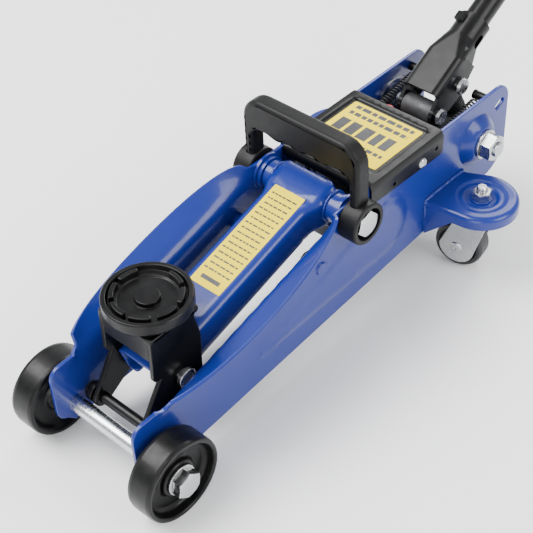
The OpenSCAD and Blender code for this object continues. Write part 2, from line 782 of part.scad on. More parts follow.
module ram_rod() {
    color(steel) in_frame() translate([0, 0, ram_z]) difference() {
        union() {
            x_rod(ram_r, piston_x, yoke_rear + 2);
            x_rod(bore_r - run_gap, piston_x, piston_x + 6.5);
        }
        difference() {
            x_rod(bore_r + past, piston_x + 2, piston_x + 4.5);
            x_rod(bore_r - 2.5, piston_x + 1, piston_x + 6);
        }
    }
}

module piston_seal() {
    color(seal_black) in_frame() translate([0, 0, ram_z]) difference() {
        x_rod(bore_r - run_gap, piston_x + 2, piston_x + 4.5);
        x_rod(bore_r - 2.5, piston_x + 1, piston_x + 6);
    }
}

// Yoke with an upright slot that the lever pin rides in
module ram_yoke() {
    slot_r = pin_r + 0.9;
    color(cast_grey) in_frame() difference() {
        union() {
            translate([yoke_rear, -12.4, ram_z - 13]) cube([12, 24.8, 26]);
            translate([lever_pin_x - 6, -12.4, ram_z - 13]) cube([16, 24.8, 26]);
        }
        translate([lever_pin_x, 0, 0]) for (dz = [-4.6, 4.6]) at_xz(0, ram_z + dz) y_rod(slot_r, -14, 14);
        translate([lever_pin_x - slot_r, -14, ram_z - 4.6]) cube([2 * slot_r, 28, 9.2]);
        translate([0, 0, ram_z]) x_rod(ram_r, yoke_rear - past, yoke_rear + 2);
    }
}

// Rest position of the plunger's cap follows the roller
rest_lift = roller_reach * sin(roller_angle - pump_lean);

cap_top = rest_lift - roller_r - roller_gap;

module pump_plunger() {
    color(steel) in_frame() in_pump() union() {
        translate([0, 0, cap_top - 3]) cylinder(r = 10.5, h = 3);
        translate([0, 0, cap_top - 37]) cylinder(r = plunger_r, h = 35);
    }
}

module plunger_spring() {
    color(black_paint) in_frame() in_pump() translate([0, 0, -pump_seat]) difference() {
        cylinder(r = 10, h = pump_seat + cap_top - 3);
        translate([0, 0, -past]) cylinder(r = sleeve_r + 0.4, h = 60);
    }
}

module release_valve() {
    color(zinc) in_frame() translate([0, valve[0], valve[1]]) union() {
        x_rod(5, block_rear - 1, block_rear + 27);
        translate([block_rear + 26.9, 0, 0]) rotate([0, 90, 0]) cylinder(r1 = 5, r2 = 1, h = 2.8);
        difference() {
            x_rod(7.5, block_rear - 7, block_rear - 0.4);
            translate([block_rear - 8, -1.2, -9]) cube([4, 2.4, 18]);
        }
    }
}

// ---------- handle ----------

module in_handle() translate([fulcrum[0], 0, fulcrum[1]]) rotate([0, handle_tilt, 0]) children();

// Rounded front of the socket's channel, in Y and up
module socket_front(low) {
    r = 6;
    top = socket_axis + socket_r;
    polygon(concat([[-cheek_out, low], [cheek_out, low]],
        arc(cheek_out - r, top - r, r, 0, 90), arc(-cheek_out + r, top - r, r, 90, 180)));
}

module handle_socket() {
    low = -7;
    top = socket_axis + socket_r;
    color(black_paint) in_frame() in_handle() difference() {
        union() {
            translate([0, 0, socket_axis]) x_rod(socket_r, -socket_end, -60);
            hull() {
                translate([0, 0, socket_axis]) x_rod(socket_r, -62, -60);
                translate([-42, 0, 0]) rotate([90, 0, 90]) linear_extrude(1)
                    socket_front(socket_axis - socket_r);
            }
            translate([-42, 0, 0]) rotate([90, 0, 90]) linear_extrude(42 + socket_front_u)
                socket_front(low);
            for (side = [1, -1]) on_side(side) xz_plate(cheek_in, cheek_out) {
                circle(r = 9.5);
                translate([-roller_arm[0], roller_arm[1]]) circle(r = 10);
                polygon([[0, -9.5], [9.5, 0], [7, 7], [socket_front_u - 1, top - 6], [-46, top - 6],
                    [-50, -4], [-roller_arm[0] - 7, roller_arm[1] - 7], [-roller_arm[0],
                        roller_arm[1] - 10]]);
            }
        }
        translate([0, 0, socket_axis]) x_rod(rod_r, -socket_end - past, -40);
        translate([-54, -cheek_in, -20]) cube([80, 2 * cheek_in, 20 + top - 3]);
        y_rod(pin_r + run_gap, -20, 20);
        at_xz(-roller_arm[0], roller_arm[1]) y_rod(pin_r - 1, -20, 20);
        for (u = [-68, -62]) translate([u, 0, socket_axis]) rotate([-90, 0, 0]) cylinder(r = 3, h = 20);
        translate([-68, 0, socket_axis - 3]) cube([6, 20, 6]);
        translate([-clamp_u, 0, socket_axis]) rotate([clamp_turn, 0, 0]) cylinder(r = 3, h = 20);
    }
}

clamp_u = 73;
clamp_turn = 20;

module handle_clamp_bolt() {
    color(black_paint) in_frame() in_handle() translate([-clamp_u, 0, socket_axis])
        rotate([clamp_turn, 0, 0]) union() {
        translate([0, 0, rod_r + 0.1]) cylinder(r = 3, h = 5);
        translate([-3.5, -3.5, socket_r + 0.1]) cube([7, 7, 4]);
    }
}

module fulcrum_pin() {
    color(zinc) in_frame() at_xz(fulcrum[0], fulcrum[1]) {
        y_rod(pin_r, -cheek_out - 3, cheek_out + 3);
        for (side = [1, -1]) on_side(side) y_cone(6.6, 5.8, cheek_out + 2.4, cheek_out + 4.6);
    }
}

module roller_pin() {
    color(zinc) in_frame() in_handle() at_xz(-roller_arm[0], roller_arm[1]) {
        y_rod(pin_r - 1, -cheek_out - 3, cheek_out + 3);
        for (side = [1, -1]) on_side(side) y_rod(5, cheek_out, cheek_out + 1.4);
        for (side = [1, -1]) on_side(side) y_cone(6.8, 6, cheek_out + 2.4, cheek_out + 4.6);
    }
}

module pump_roller() {
    color(steel) in_frame() in_handle() at_xz(-roller_arm[0], roller_arm[1])
        y_ring(pin_r - 1 + run_gap, roller_r, -11, 11);
}

module handle_rod() {
    tube_t = 1.6;
    color(black_paint) in_frame() in_handle() translate([0, 0, socket_axis]) difference() {
        x_rod(rod_r, -handle_reach + 3, -56);
        x_rod(rod_r - tube_t, -handle_reach + 6, -55);
    }
}

module handle_grip() {
    color(black_plastic) in_frame() in_handle() translate([-handle_reach, 0, socket_axis])
        rotate([0, 90, 0])
        rotate_extrude() polygon([[0, 0], [grip_r - grip_chamfer, 0], [grip_r, grip_chamfer], [grip_r, 12],
            [grip_r - 1.2, 14], [grip_r - 1.2, grip_len - 14], [grip_r, grip_len - 12],
            [grip_r, grip_len - 2], [grip_r - 1.5, grip_len], [rod_r, grip_len], [rod_r, 3], [0, 3]]);
}

// ---------- return springs ----------

module return_springs() {
    start = [stud_r * sin(lever_low), pivot_z - stud_r * cos(lever_low)];
    span = norm(anchor - start);
    lean = atan2(anchor[1] - start[1], start[0] - anchor[0]);
    color(black_paint) in_frame() for (side = [1, -1]) on_side(side)
        translate([start[0], spring_y, start[1]]) rotate([0, lean, 0]) difference() {
            x_rod(4.4, -span + anchor_r + 0.1, -4.7);
            x_rod(3, -span, 0);
        }
}

module spring_anchor_rod() {
    color(black_paint) in_frame() at_xz(anchor[0], anchor[1]) for (side = [1, -1]) on_side(side) {
        y_rod(anchor_r, 24, plate_in);
        y_rod(3.8, 23, 24.4);
    }
}

// ---------- cover ----------

module top_cover() {
    wide = plate_out + slip_gap + cover_t;
    notch = [-86, -74];
    inner = cover_top - cover_t;
    length = cover_front - cover_rear;
    color(black_paint) in_frame() difference() {
        union() {
            difference() {
                translate([cover_rear, -wide, cover_side]) cube([length, 2 * wide, cover_top - cover_side]);
                translate([cover_rear - past, -wide + cover_t, cover_side - past])
                    cube([length + past - cover_t, 2 * (wide - cover_t), inner - cover_side + past]);
                translate([cover_front - 5, -wide - past, cover_side - past])
                    cube([10, 2 * wide + 2 * past, 7]);
                translate([cover_front - 5, -wide + cover_t, cover_side - past])
                    cube([10, 2 * (wide - cover_t), front_flange - cover_side + past]);
                for (side = [1, -1]) on_side(side)
                    translate([cover_front - 5, plate_in - slip_gap, cover_side])
                    cube([10, wide - cover_t - plate_in + slip_gap, inner - cover_side]);
            }
            translate([panel_x[0] - 1.5, -panel_half - 1.5, inner - 1.6])
                cube([panel_x[1] - panel_x[0] + 3, 2 * panel_half + 3, 1.7]);
        }
        translate([panel_x[0], 0, cover_top - 1.6]) linear_extrude(3) polygon(concat(
            arc(panel_x[1] - panel_x[0] - 5, panel_half - 5, 5, 0, 90), arc(5, panel_half - 5, 5, 90, 180),
            arc(5, -panel_half + 5, 5, 180, 270), arc(panel_x[1] - panel_x[0] - 5, -panel_half + 5, 5,
                270, 360)));
        translate([notch[0], -wide - past, cover_side - past]) cube([notch[1] - notch[0],
            2 * wide + 2 * past, 2]);
        at_xz(cover_screw[0], cover_screw[1]) y_rod(screw_r, -60, 60);
        for (p = [[-96.5, 114], [-47, 111.5]]) at_xz(p[0], p[1]) y_rod(1.7, -60, 60);
    }
}

module cover_screws() {
    seat = plate_out + slip_gap + cover_t;
    color(zinc) in_frame() at_xz(cover_screw[0], cover_screw[1]) for (side = [1, -1]) on_side(side) {
        y_rod(screw_r, plate_in - 3, seat + 0.2);
        y_cone(4.2, 3, seat, seat + 2.4);
    }
}

module cover_label() {
    color(label_yellow) in_frame() translate([-95, -32, cover_top - 1.6]) cube([57, 64, 0.3]);
}

// ---------- carry handle ----------

// Outline in Y and Z: a bail with round corners and finger waves under the grip
module bail_outline() {
    r_out = 17;
    r_in = 8;
    waves = [for (i = [0:36]) let (y = 32 - 64 * i / 36)
        [y, bail_window - 2 * pow(sin(i * 15), 2)]];
    polygon(concat([[bail_out, pivot_z]], arc(bail_out - r_out, bail_top - r_out, r_out, 0, 90),
        arc(-bail_out + r_out, bail_top - r_out, r_out, 90, 180), [[-bail_out, pivot_z],
            [-bail_in, pivot_z]],
        arc(-bail_in + r_in, bail_window - r_in, r_in, 180, 90), [for (i = [36:-1:0]) waves[i]],
        arc(bail_in - r_in, bail_window - r_in, r_in, 90, 0), [[bail_in, pivot_z]]));
}

module carry_handle() {
    color(black_plastic) in_frame() difference() {
        union() {
            translate([-bail_t / 2, 0, 0]) rotate([90, 0, 90]) linear_extrude(bail_t) bail_outline();
            at_xz(0, pivot_z) for (side = [1, -1]) on_side(side) y_rod(boss_r, boss_in, boss_out);
        }
        at_xz(0, pivot_z) for (side = [1, -1]) on_side(side) {
            y_rod(bolt_r + run_gap, boss_in - past, boss_out);
            y_rod(12.4, bolt_head_y - slip_gap, boss_out + past);
        }
    }
}

side_plate_left();
side_plate_right();
caster_bracket_left();
caster_bracket_right();
front_axle();
front_axle_washers();
front_axle_bolts();
front_wheel_left();
front_wheel_right();
pivot_shaft();
pivot_bolts();
pivot_collars();
lift_arm();
arm_label();
saddle_pin();
ram_pin();
spring_studs();
saddle_bracket();
link_front_pin();
saddle();
saddle_retainer();
link_rod_left();
link_rod_right();
link_frame_pins();
pump_block();
pressure_cylinder();
reservoir_tube();
cylinder_head();
head_seal();
trunnion_bolts();
trunnion_washers();
filler_plug();
ram_rod();
piston_seal();
ram_yoke();
pump_plunger();
plunger_spring();
check_valve_balls();
release_valve();
handle_socket();
fulcrum_pin();
roller_pin();
pump_roller();
handle_clamp_bolt();
handle_rod();
handle_grip();
return_springs();
spring_anchor_rod();
top_cover();
cover_screws();
cover_label();
carry_handle();
caster_fork_left();
caster_fork_right();
caster_axle_left();
caster_axle_right();
caster_wheel_left();
caster_wheel_right();
caster_kingpins();
caster_nuts();
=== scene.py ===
import json
import math

import bpy
import numpy as np
from mathutils import Matrix, Vector
from mathutils.geometry import delaunay_2d_cdt


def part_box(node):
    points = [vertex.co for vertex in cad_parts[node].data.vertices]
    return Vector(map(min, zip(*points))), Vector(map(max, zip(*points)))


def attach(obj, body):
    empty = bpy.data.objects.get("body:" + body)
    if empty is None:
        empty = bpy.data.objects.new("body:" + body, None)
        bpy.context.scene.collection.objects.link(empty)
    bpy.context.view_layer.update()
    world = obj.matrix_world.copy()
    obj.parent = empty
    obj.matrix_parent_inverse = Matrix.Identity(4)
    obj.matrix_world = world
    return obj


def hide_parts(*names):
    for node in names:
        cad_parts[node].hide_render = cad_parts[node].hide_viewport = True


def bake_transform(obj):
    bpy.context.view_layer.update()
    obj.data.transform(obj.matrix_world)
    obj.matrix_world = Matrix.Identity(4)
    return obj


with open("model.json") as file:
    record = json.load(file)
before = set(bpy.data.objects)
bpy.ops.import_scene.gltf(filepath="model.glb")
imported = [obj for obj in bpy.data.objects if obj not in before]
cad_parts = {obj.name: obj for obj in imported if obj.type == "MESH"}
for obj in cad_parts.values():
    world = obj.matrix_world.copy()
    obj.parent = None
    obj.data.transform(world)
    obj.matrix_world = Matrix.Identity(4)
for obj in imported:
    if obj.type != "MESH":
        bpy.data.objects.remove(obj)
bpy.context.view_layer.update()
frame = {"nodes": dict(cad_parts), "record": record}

# Shapes are written in millimetres with x = 0 at the arm's pivot; SHIFT moves them into the row frame.
AXLE_X = 201.6
low_corner, high_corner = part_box("front_axle")
SHIFT = (low_corner.x + high_corner.x) / 2 * 1000 - AXLE_X
TAU = 2 * math.pi


# -------------------------------- materials

def material(name, color, rough, metallic=0.0, coat=0.0, vary=0.12, tint=None, rough_vary=0.08,
             grain=(1, 1, 1), grain_scale=900.0, bump=0.00003, wave=0.0, wave_scale=25.0, blotch=35.0,
             speck=0.0, speck_color=(0.5, 0.5, 0.5), spec=0.5):
    """Surface whose colour drifts and roughness varies, with a fine bump and, for paint, a longer wave."""
    m = bpy.data.materials.new(name)
    m.use_nodes = True
    nt = m.node_tree
    n, link = nt.nodes, nt.links
    bsdf = n["Principled BSDF"]
    bsdf.inputs["Metallic"].default_value = metallic
    bsdf.inputs["Coat Weight"].default_value = coat
    bsdf.inputs["Coat Roughness"].default_value = 0.06
    bsdf.inputs["IOR"].default_value = 1.5
    bsdf.inputs["Specular IOR Level"].default_value = spec
    co = n.new("ShaderNodeTexCoord")

    def noise(scale, detail, stretch=(1, 1, 1)):
        mp = n.new("ShaderNodeMapping")
        mp.inputs["Scale"].default_value = stretch
        link.new(co.outputs["Object"], mp.inputs["Vector"])
        t = n.new("ShaderNodeTexNoise")
        t.inputs["Scale"].default_value = scale
        t.inputs["Detail"].default_value = detail
        link.new(mp.outputs["Vector"], t.inputs["Vector"])
        return t

    def spread(source, lo, hi, a=0.3, b=0.7):
        r = n.new("ShaderNodeMapRange")
        r.inputs["From Min"].default_value = a
        r.inputs["From Max"].default_value = b
        r.inputs["To Min"].default_value = lo
        r.inputs["To Max"].default_value = hi
        link.new(source, r.inputs["Value"])
        return r.outputs["Result"]

    big = noise(blotch, 4)
    fine = noise(grain_scale, 3, grain)
    darker = tuple(c * (1 - vary) for c in color)
    lighter = tint or tuple(min(1, c * (1 + vary) + 0.004) for c in color)
    mix = n.new("ShaderNodeMix")
    mix.data_type = "RGBA"
    mix.inputs[6].default_value = (*darker, 1)
    mix.inputs[7].default_value = (*lighter, 1)
    link.new(spread(big.outputs["Fac"], 0, 1), mix.inputs[0])
    result = mix.outputs[2]
    if speck:
        dots = noise(420, 2)
        pick = spread(dots.outputs["Fac"], 0, speck, 0.66, 0.72)
        mix2 = n.new("ShaderNodeMix")
        mix2.data_type = "RGBA"
        mix2.inputs[7].default_value = (*speck_color, 1)
        link.new(result, mix2.inputs[6])
        link.new(pick, mix2.inputs[0])
        result = mix2.outputs[2]
    link.new(result, bsdf.inputs["Base Color"])
    scuff = noise(blotch * 4, 6, grain)
    link.new(spread(scuff.outputs["Fac"], max(0.03, rough - rough_vary), min(1, rough + rough_vary)),
             bsdf.inputs["Roughness"])
    grainy = n.new("ShaderNodeBump")
    grainy.inputs["Strength"].default_value = 1.0
    grainy.inputs["Distance"].default_value = bump
    link.new(fine.outputs["Fac"], grainy.inputs["Height"])
    normal = grainy.outputs["Normal"]
    if wave:
        wavy = n.new("ShaderNodeBump")
        wavy.inputs["Strength"].default_value = 1.0
        wavy.inputs["Distance"].default_value = wave
        link.new(noise(wave_scale, 2).outputs["Fac"], wavy.inputs["Height"])
        link.new(normal, wavy.inputs["Normal"])
        normal = wavy.outputs["Normal"]
    link.new(normal, bsdf.inputs["Normal"])
    if coat:
        link.new(normal, bsdf.inputs["Coat Normal"])
    return m


MAT = {
    "jack_blue": material("blue_enamel", (0.0063, 0.0194, 0.189), 0.30, coat=0.25, spec=0.32, vary=0.02,
                          tint=(0.0067, 0.0206, 0.195), rough_vary=0.012, bump=0.000004, wave=0.00006,
                          wave_scale=22, grain_scale=500),
    "black_paint": material("black_enamel", (0.0018, 0.0018, 0.0021), 0.33, coat=0.05, spec=0.20, vary=0.2,
                            rough_vary=0.05, bump=0.000010, wave=0.00007, wave_scale=50, grain_scale=500),
    "wheel_black": material("wheel_enamel", (0.0016, 0.0016, 0.0018), 0.36, coat=0.05, spec=0.20, vary=0.3,
                            bump=0.00003, wave=0.00012, wave_scale=90, grain_scale=380),
    "black_plastic": material("black_plastic", (0.0026, 0.0026, 0.0029), 0.46, spec=0.20, vary=0.15,
                              rough_vary=0.06, bump=0.00003, grain_scale=1500),
    "zinc": material("zinc_plate", (0.50, 0.52, 0.54), 0.27, metallic=1.0, vary=0.12, tint=(0.58, 0.58, 0.57),
                     rough_vary=0.08, bump=0.000012, grain_scale=1200, wave=0.00006, wave_scale=160),
    "zinc_turned": material("zinc_turned", (0.66, 0.68, 0.70), 0.24, metallic=1.0, vary=0.10, rough_vary=0.12,
                            bump=0.00003, grain=(0.4, 9, 0.4), grain_scale=500),
    "zinc_yellow": material("zinc_yellow", (0.62, 0.56, 0.44), 0.28, metallic=1.0, vary=0.25,
                            tint=(0.60, 0.62, 0.72), rough_vary=0.10, bump=0.00002, blotch=260),
    "steel": material("ground_steel", (0.50, 0.51, 0.53), 0.22, metallic=1.0, rough_vary=0.08,
                      bump=0.00002, grain=(9, 1, 1), grain_scale=500),
    "cast": material("cast_iron", (0.055, 0.057, 0.060), 0.55, metallic=0.4, vary=0.3, rough_vary=0.12,
                     bump=0.00020, grain_scale=420),
    "label": material("label_film", (0.88, 0.68, 0.0), 0.6, vary=0.02, bump=0.000003, spec=0.05,
                      grain_scale=700, rough_vary=0.04),
    "ink": material("label_ink", (0.020, 0.020, 0.022), 0.40, vary=0.2, bump=0.000004),
    "seal": material("seal_rubber", (0.012, 0.012, 0.012), 0.6, vary=0.2, bump=0.00004),
    "plug_red": material("red_plastic", (0.42, 0.012, 0.010), 0.38, vary=0.1, bump=0.00002),
    "caster_tread": material("caster_plastic", (0.010, 0.010, 0.011), 0.38, vary=0.2, bump=0.00006,
                             grain_scale=500, speck=0.25, speck_color=(0.05, 0.05, 0.05)),
    "spring_black": material("spring_steel", (0.02, 0.02, 0.022), 0.42, metallic=0.5, vary=0.3, bump=0.00004,
                             grain_scale=700),
}


# -------------------------------- mesh helpers

def to_row(points):
    """Millimetres from the arm's pivot to metres in the row frame."""
    p = np.asarray(points, float).reshape(-1, 3).copy()
    p[:, 0] += SHIFT
    return p / 1000.0


class Shell:
    """Collects closed shells into one mesh; faces keep the material they were added with."""

    def __init__(self):
        self.v, self.f, self.m = [], [], []
        self.count = 0

    def add(self, verts, faces, mat=0, mirror=False):
        verts = np.asarray(verts, float).reshape(-1, 3)
        if mirror:
            verts = verts * np.array([1, -1, 1.0])
            faces = [tuple(reversed(f)) for f in faces]
        self.v.append(verts)
        self.f += [tuple(i + self.count for i in f) for f in faces]
        self.m += [mat] * len(faces)
        self.count += len(verts)
        return self

    def done(self, name, body, slot, node=None, angle=40, mats=None):
        """Makes the piece, in the slot's own material unless mats names others, to stand for a CAD node."""
        me = bpy.data.meshes.new(name)
        me.from_pydata([tuple(v) for v in to_row(np.vstack(self.v))], [], [tuple(map(int, f)) for f in self.f])
        me.validate()
        for m in mats or [slot]:
            me.materials.append(MAT[m])
        me.polygons.foreach_set("material_index", np.array(self.m, np.int32))
        me.update()
        me.shade_smooth()
        me.set_sharp_from_angle(angle=math.radians(angle))
        o = bpy.data.objects.new(name, me)
        bpy.context.scene.collection.objects.link(o)
        w = o.modifiers.new("weighted", "WEIGHTED_NORMAL")
        w.keep_sharp = True
        w.weight = 60
        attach(o, body)
        if node:
            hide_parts(node)
        return o


def rounded(points, radii, n=6):
    """Closed polygon with each corner rounded; a radius of 0 keeps the corner sharp."""
    pts = [np.array(p, float) for p in points]
    out = []
    for i, p in enumerate(pts):
        r = radii[i] if hasattr(radii, "__len__") else radii
        a, b = pts[i - 1] - p, pts[(i + 1) % len(pts)] - p
        la, lb = np.linalg.norm(a), np.linalg.norm(b)
        if r <= 0 or la < 1e-9 or lb < 1e-9:
            out.append(p)
            continue
        ua, ub = a / la, b / lb
        ang = math.acos(max(-1, min(1, float(ua @ ub))))
        if ang > math.pi - 1e-3:
            out.append(p)
            continue
        cut = min(r / math.tan(ang / 2), la * 0.48, lb * 0.48)
        r2 = cut * math.tan(ang / 2)
        bis = (ua + ub) / np.linalg.norm(ua + ub)
        c = p + bis * (r2 / math.sin(ang / 2))
        s, e = p + ua * cut - c, p + ub * cut - c
        a0 = math.atan2(s[1], s[0])
        turn = (math.atan2(e[1], e[0]) - a0 + math.pi) % TAU - math.pi
        for k in range(n + 1):
            t = a0 + turn * k / n
            out.append(c + r2 * np.array([math.cos(t), math.sin(t)]))
    return np.array(out)


def basis(axis):
    """Two directions across an axis, and the axis itself, all of unit length."""
    z = np.array(axis, float)
    z /= np.linalg.norm(z)
    x = np.cross([0, 0, 1.0], z)
    if np.linalg.norm(x) < 1e-6:
        x = np.array([1.0, 0, 0])
    x /= np.linalg.norm(x)
    return x, np.cross(z, x), z


def lathe(profile, centre, axis, segs=96, spin=0.0):
    """Closed profile of (radius, height) points turned about the axis. Points on the axis become one vertex."""
    x, y, z = basis(axis)
    c = np.array(centre, float)
    turned = [profile[(i + 1) % len(profile)] for i in range(len(profile))]
    if sum(p[0] * q[1] - q[0] * p[1] for p, q in zip(profile, turned)) < 0:
        profile = profile[::-1]
    verts, rows = [], []
    for r, h in profile:
        if r < 1e-6:
            rows.append([len(verts)] * segs)
            verts.append(c + z * h)
        else:
            start = len(verts)
            for k in range(segs):
                t = TAU * k / segs + spin
                verts.append(c + z * h + r * (x * math.cos(t) + y * math.sin(t)))
            rows.append(list(range(start, start + segs)))
    faces = []
    for i in range(len(rows)):
        a, b = rows[i], rows[(i + 1) % len(rows)]
        for k in range(segs):
            q = [a[k], a[(k + 1) % segs], b[(k + 1) % segs], b[k]]
            q = [v for j, v in enumerate(q) if v not in q[:j]]
            if len(q) > 2:
                faces.append(tuple(q))
    return verts, faces


def disc(r, h0, h1, bevel=0.4, bore=0.0, n=4):
    """Profile of a round bar or ring with rounded corners."""
    inner = bevel if bore else 0
    return rounded([(bore, h0), (r, h0), (r, h1), (bore, h1)], [inner, bevel, bevel, inner], n)


def hexagon(flats, h, centre, axis, chamfer=0.95, bore=0.0, spin=0.0, segs=96):
    """Hexagon head or nut: chamfered by a cone so that its corners fall away in arcs."""
    x, y, z = basis(axis)
    c = np.array(centre, float)
    ang = [TAU * k / segs for k in range(segs)]
    rh = [flats / 2 / math.cos((a % (TAU / 6)) - TAU / 12) for a in ang]
    rc = flats / 2 * chamfer
    e, lead = 0.25, 0.4

    def top(r):
        return h - max(0.0, r - rc) * math.tan(math.radians(22))

    rings = [[(max(0, r - e), 0.0) for r in rh], [(r, e) for r in rh], [(r, top(r) - e) for r in rh],
             [(r - e, top(r - e)) for r in rh], [(min(r - e - 0.05, rc), h) for r in rh],
             [(bore + lead if bore else rc * 0.5, h)] * segs]
    if bore:
        rings += [[(bore, h - lead)] * segs, [(bore, 0.0)] * segs]
    verts, rows = [], []
    for ring in rings:
        rows.append([])
        for k, (r, hh) in enumerate(ring):
            t = ang[k] + spin
            rows[-1].append(len(verts))
            verts.append(c + z * hh + r * (x * math.cos(t) + y * math.sin(t)))
    faces = []
    m = len(rows)
    for i in range(m if bore else m - 1):
        a, b = rows[i], rows[(i + 1) % m]
        for k in range(segs):
            faces.append((a[k], a[(k + 1) % segs], b[(k + 1) % segs], b[k]))
    if not bore:
        verts.append(c + z * h)
        faces += [(rows[-1][k], rows[-1][(k + 1) % segs], len(verts) - 1) for k in range(segs)]
        verts.append(c + z * 0)
        faces += [(rows[0][(k + 1) % segs], rows[0][k], len(verts) - 1) for k in range(segs)]
    return verts, faces


def inside(points, loop):
    """Which of the points lie inside a closed loop."""
    x, y = points[:, 0], points[:, 1]
    hit = np.zeros(len(points), bool)
    a = np.asarray(loop)
    b = np.roll(a, -1, 0)
    for (x0, y0), (x1, y1) in zip(a, b):
        cross = (y0 > y) != (y1 > y)
        if cross.any():
            hit ^= cross & (x < (x1 - x0) * (y - y0) / ((y1 - y0) or 1e-12) + x0)
    return hit


def ccw(loop):
    """The loop turned counter-clockwise."""
    a = np.asarray(loop, float)
    b = np.roll(a, -1, 0)
    return a if (a[:, 0] * b[:, 1] - b[:, 0] * a[:, 1]).sum() > 0 else a[::-1]


def resample(loop, step):
    """Drops points that nearly coincide and adds points along long edges of a closed loop."""
    out = []
    a = np.asarray(loop, float)
    a = a[np.linalg.norm(a - np.roll(a, 1, 0), axis=1) > 0.2]
    for p, q in zip(a, np.roll(a, -1, 0)):
        n = max(1, int(np.linalg.norm(q - p) / step + 0.5))
        out += [p + (q - p) * k / n for k in range(n)]
    return np.array(out)


def filling(outer, holes, step):
    """Rows of staggered points that fill an outline and keep out of its holes."""
    lo, hi = outer.min(0), outer.max(0)
    rows = [np.zeros((0, 2))]
    dy = step * 0.866
    v = lo[1] + dy / 2
    while v < hi[1]:
        us = np.arange(lo[0] + (0.01 if len(rows) % 2 else step / 2), hi[0], step)
        rows.append(np.column_stack([us, np.full(len(us), v)]))
        v += dy
    grid = np.vstack(rows)
    keep = inside(grid, outer)
    for h in holes:
        keep &= ~inside(grid, h)
    return grid[keep]


def clearance(points, a, b, chunk=64):
    """Distance from each point to the nearest of the segments that run from a to b."""
    d = b - a
    square = np.maximum((d * d).sum(1), 1e-12)
    best = np.full(len(points), 1e9)
    for s in range(0, len(a), chunk):
        w = points[:, None, :] - a[None, s:s + chunk]
        t = np.clip((w * d[None, s:s + chunk]).sum(2) / square[None, s:s + chunk], 0, 1)
        q = w - t[:, :, None] * d[None, s:s + chunk]
        best = np.minimum(best, np.sqrt((q * q).sum(2)).min(1))
    return best


def boundary(tris):
    """Loops of vertices round the edge of a set of triangles, with the triangles on their left."""
    sides = {(int(t[k]), int(t[(k + 1) % 3])) for t in tris for k in range(3)}
    after = {a: b for a, b in sorted(sides) if (b, a) not in sides}
    rings = []
    while after:
        ring = [min(after)]
        while after.get(ring[-1], ring[0]) != ring[0]:
            ring.append(after.pop(ring[-1]))
        after.pop(ring[-1], None)
        rings.append(ring)
    return rings


def triangulate(outer, holes, features, step):
    """Points and counter-clockwise triangles that fill an outline, with edges along every loop given."""
    pts, edges = [], []
    for loop in [outer] + holes + features:
        s = len(pts)
        pts += [tuple(p) for p in loop]
        edges += [(s + k, s + (k + 1) % len(loop)) for k in range(len(loop))]
    grid = filling(outer, holes, step)
    if len(grid):
        ends = np.array(pts)[np.array(edges)]
        grid = grid[clearance(grid, ends[:, 0], ends[:, 1]) > step * 0.45]
    res = delaunay_2d_cdt([Vector(p) for p in pts] + [Vector(p) for p in grid], edges, [], 0, 1e-5)
    co = np.array([[p.x, p.y] for p in res[0]])
    tris = np.array([list(f) for f in res[2] if len(f) == 3])
    middle_of = co[tris].mean(1)
    keep = inside(middle_of, outer)
    for h in holes:
        keep &= ~inside(middle_of, h)
    tris = tris[keep]
    e1, e2 = co[tris[:, 1]] - co[tris[:, 0]], co[tris[:, 2]] - co[tris[:, 0]]
    area = e1[:, 0] * e2[:, 1] - e1[:, 1] * e2[:, 0]
    tris[area < 0] = tris[area < 0][:, ::-1]
    return co, tris[np.abs(area) > 1e-4]


def plate(outer, where, thick, step=4.0, holes=(), features=(), rim=0.5, rim_n=3):
    """Sheet of metal: a flat outline with holes, carried into space by where(uv), with rounded edges.
    Features are loops that the triangles follow, such as the edges of a pressing."""
    co, tris = triangulate(resample(ccw(outer), step), [resample(ccw(h), step)[::-1] for h in holes],
                           [resample(ccw(f), step) for f in features], step)
    border = boundary(tris)
    move = np.zeros_like(co)
    outward = []
    for ring in border:
        p = co[ring]
        t = np.roll(p, -1, 0) - np.roll(p, 1, 0)
        t /= np.maximum(np.linalg.norm(t, axis=1)[:, None], 1e-9)
        outward.append(np.column_stack([t[:, 1], -t[:, 0]]))
        move[ring] = -outward[-1] * rim
    used = np.unique(tris)
    remap = -np.ones(len(co), int)
    remap[used] = np.arange(len(used))
    base = co + move

    def place(uv, h, eps=0.05):
        p = where(uv)
        du = where(uv + [eps, 0]) - where(uv - [eps, 0])
        dv = where(uv + [0, eps]) - where(uv - [0, eps])
        nn = np.cross(du, dv)
        nn /= np.maximum(np.linalg.norm(nn, axis=1)[:, None], 1e-12)
        return p + nn * h

    h, n = thick / 2, len(used)
    verts = [place(base[used], h), place(base[used], -h)]
    faces = [tuple(remap[t]) for t in tris] + [tuple(remap[t][::-1] + n) for t in tris]
    count = 2 * n
    steps = [(rim * (1 - math.sin(a)), h - rim * (1 - math.cos(a)))
             for a in [math.pi / 2 * k / rim_n for k in range(1, rim_n + 1)]]
    for ring, normal in zip(border, outward):
        rings = [list(remap[ring])]
        for inset, hh in steps + [(i, -x) for i, x in reversed(steps)]:
            verts.append(place(co[ring] - normal * inset, hh))
            rings.append(list(range(count, count + len(ring))))
            count += len(ring)
        rings.append([r + n for r in remap[ring]])
        for a, b in zip(rings, rings[1:]):
            for k in range(len(ring)):
                k2 = (k + 1) % len(ring)
                faces.append((a[k], b[k], b[k2], a[k2]))
    return np.vstack(verts), faces


def flat_xz(y):
    """Carries (u, v) to (x, z) on the plane Y = y, facing -Y."""
    return lambda uv: np.column_stack([uv[:, 0], np.full(len(uv), y), uv[:, 1]])


def flat_xy(z):
    """Carries (u, v) to (x, y) at the height z, facing up."""
    return lambda uv: np.column_stack([uv[:, 0], uv[:, 1], np.full(len(uv), z)])


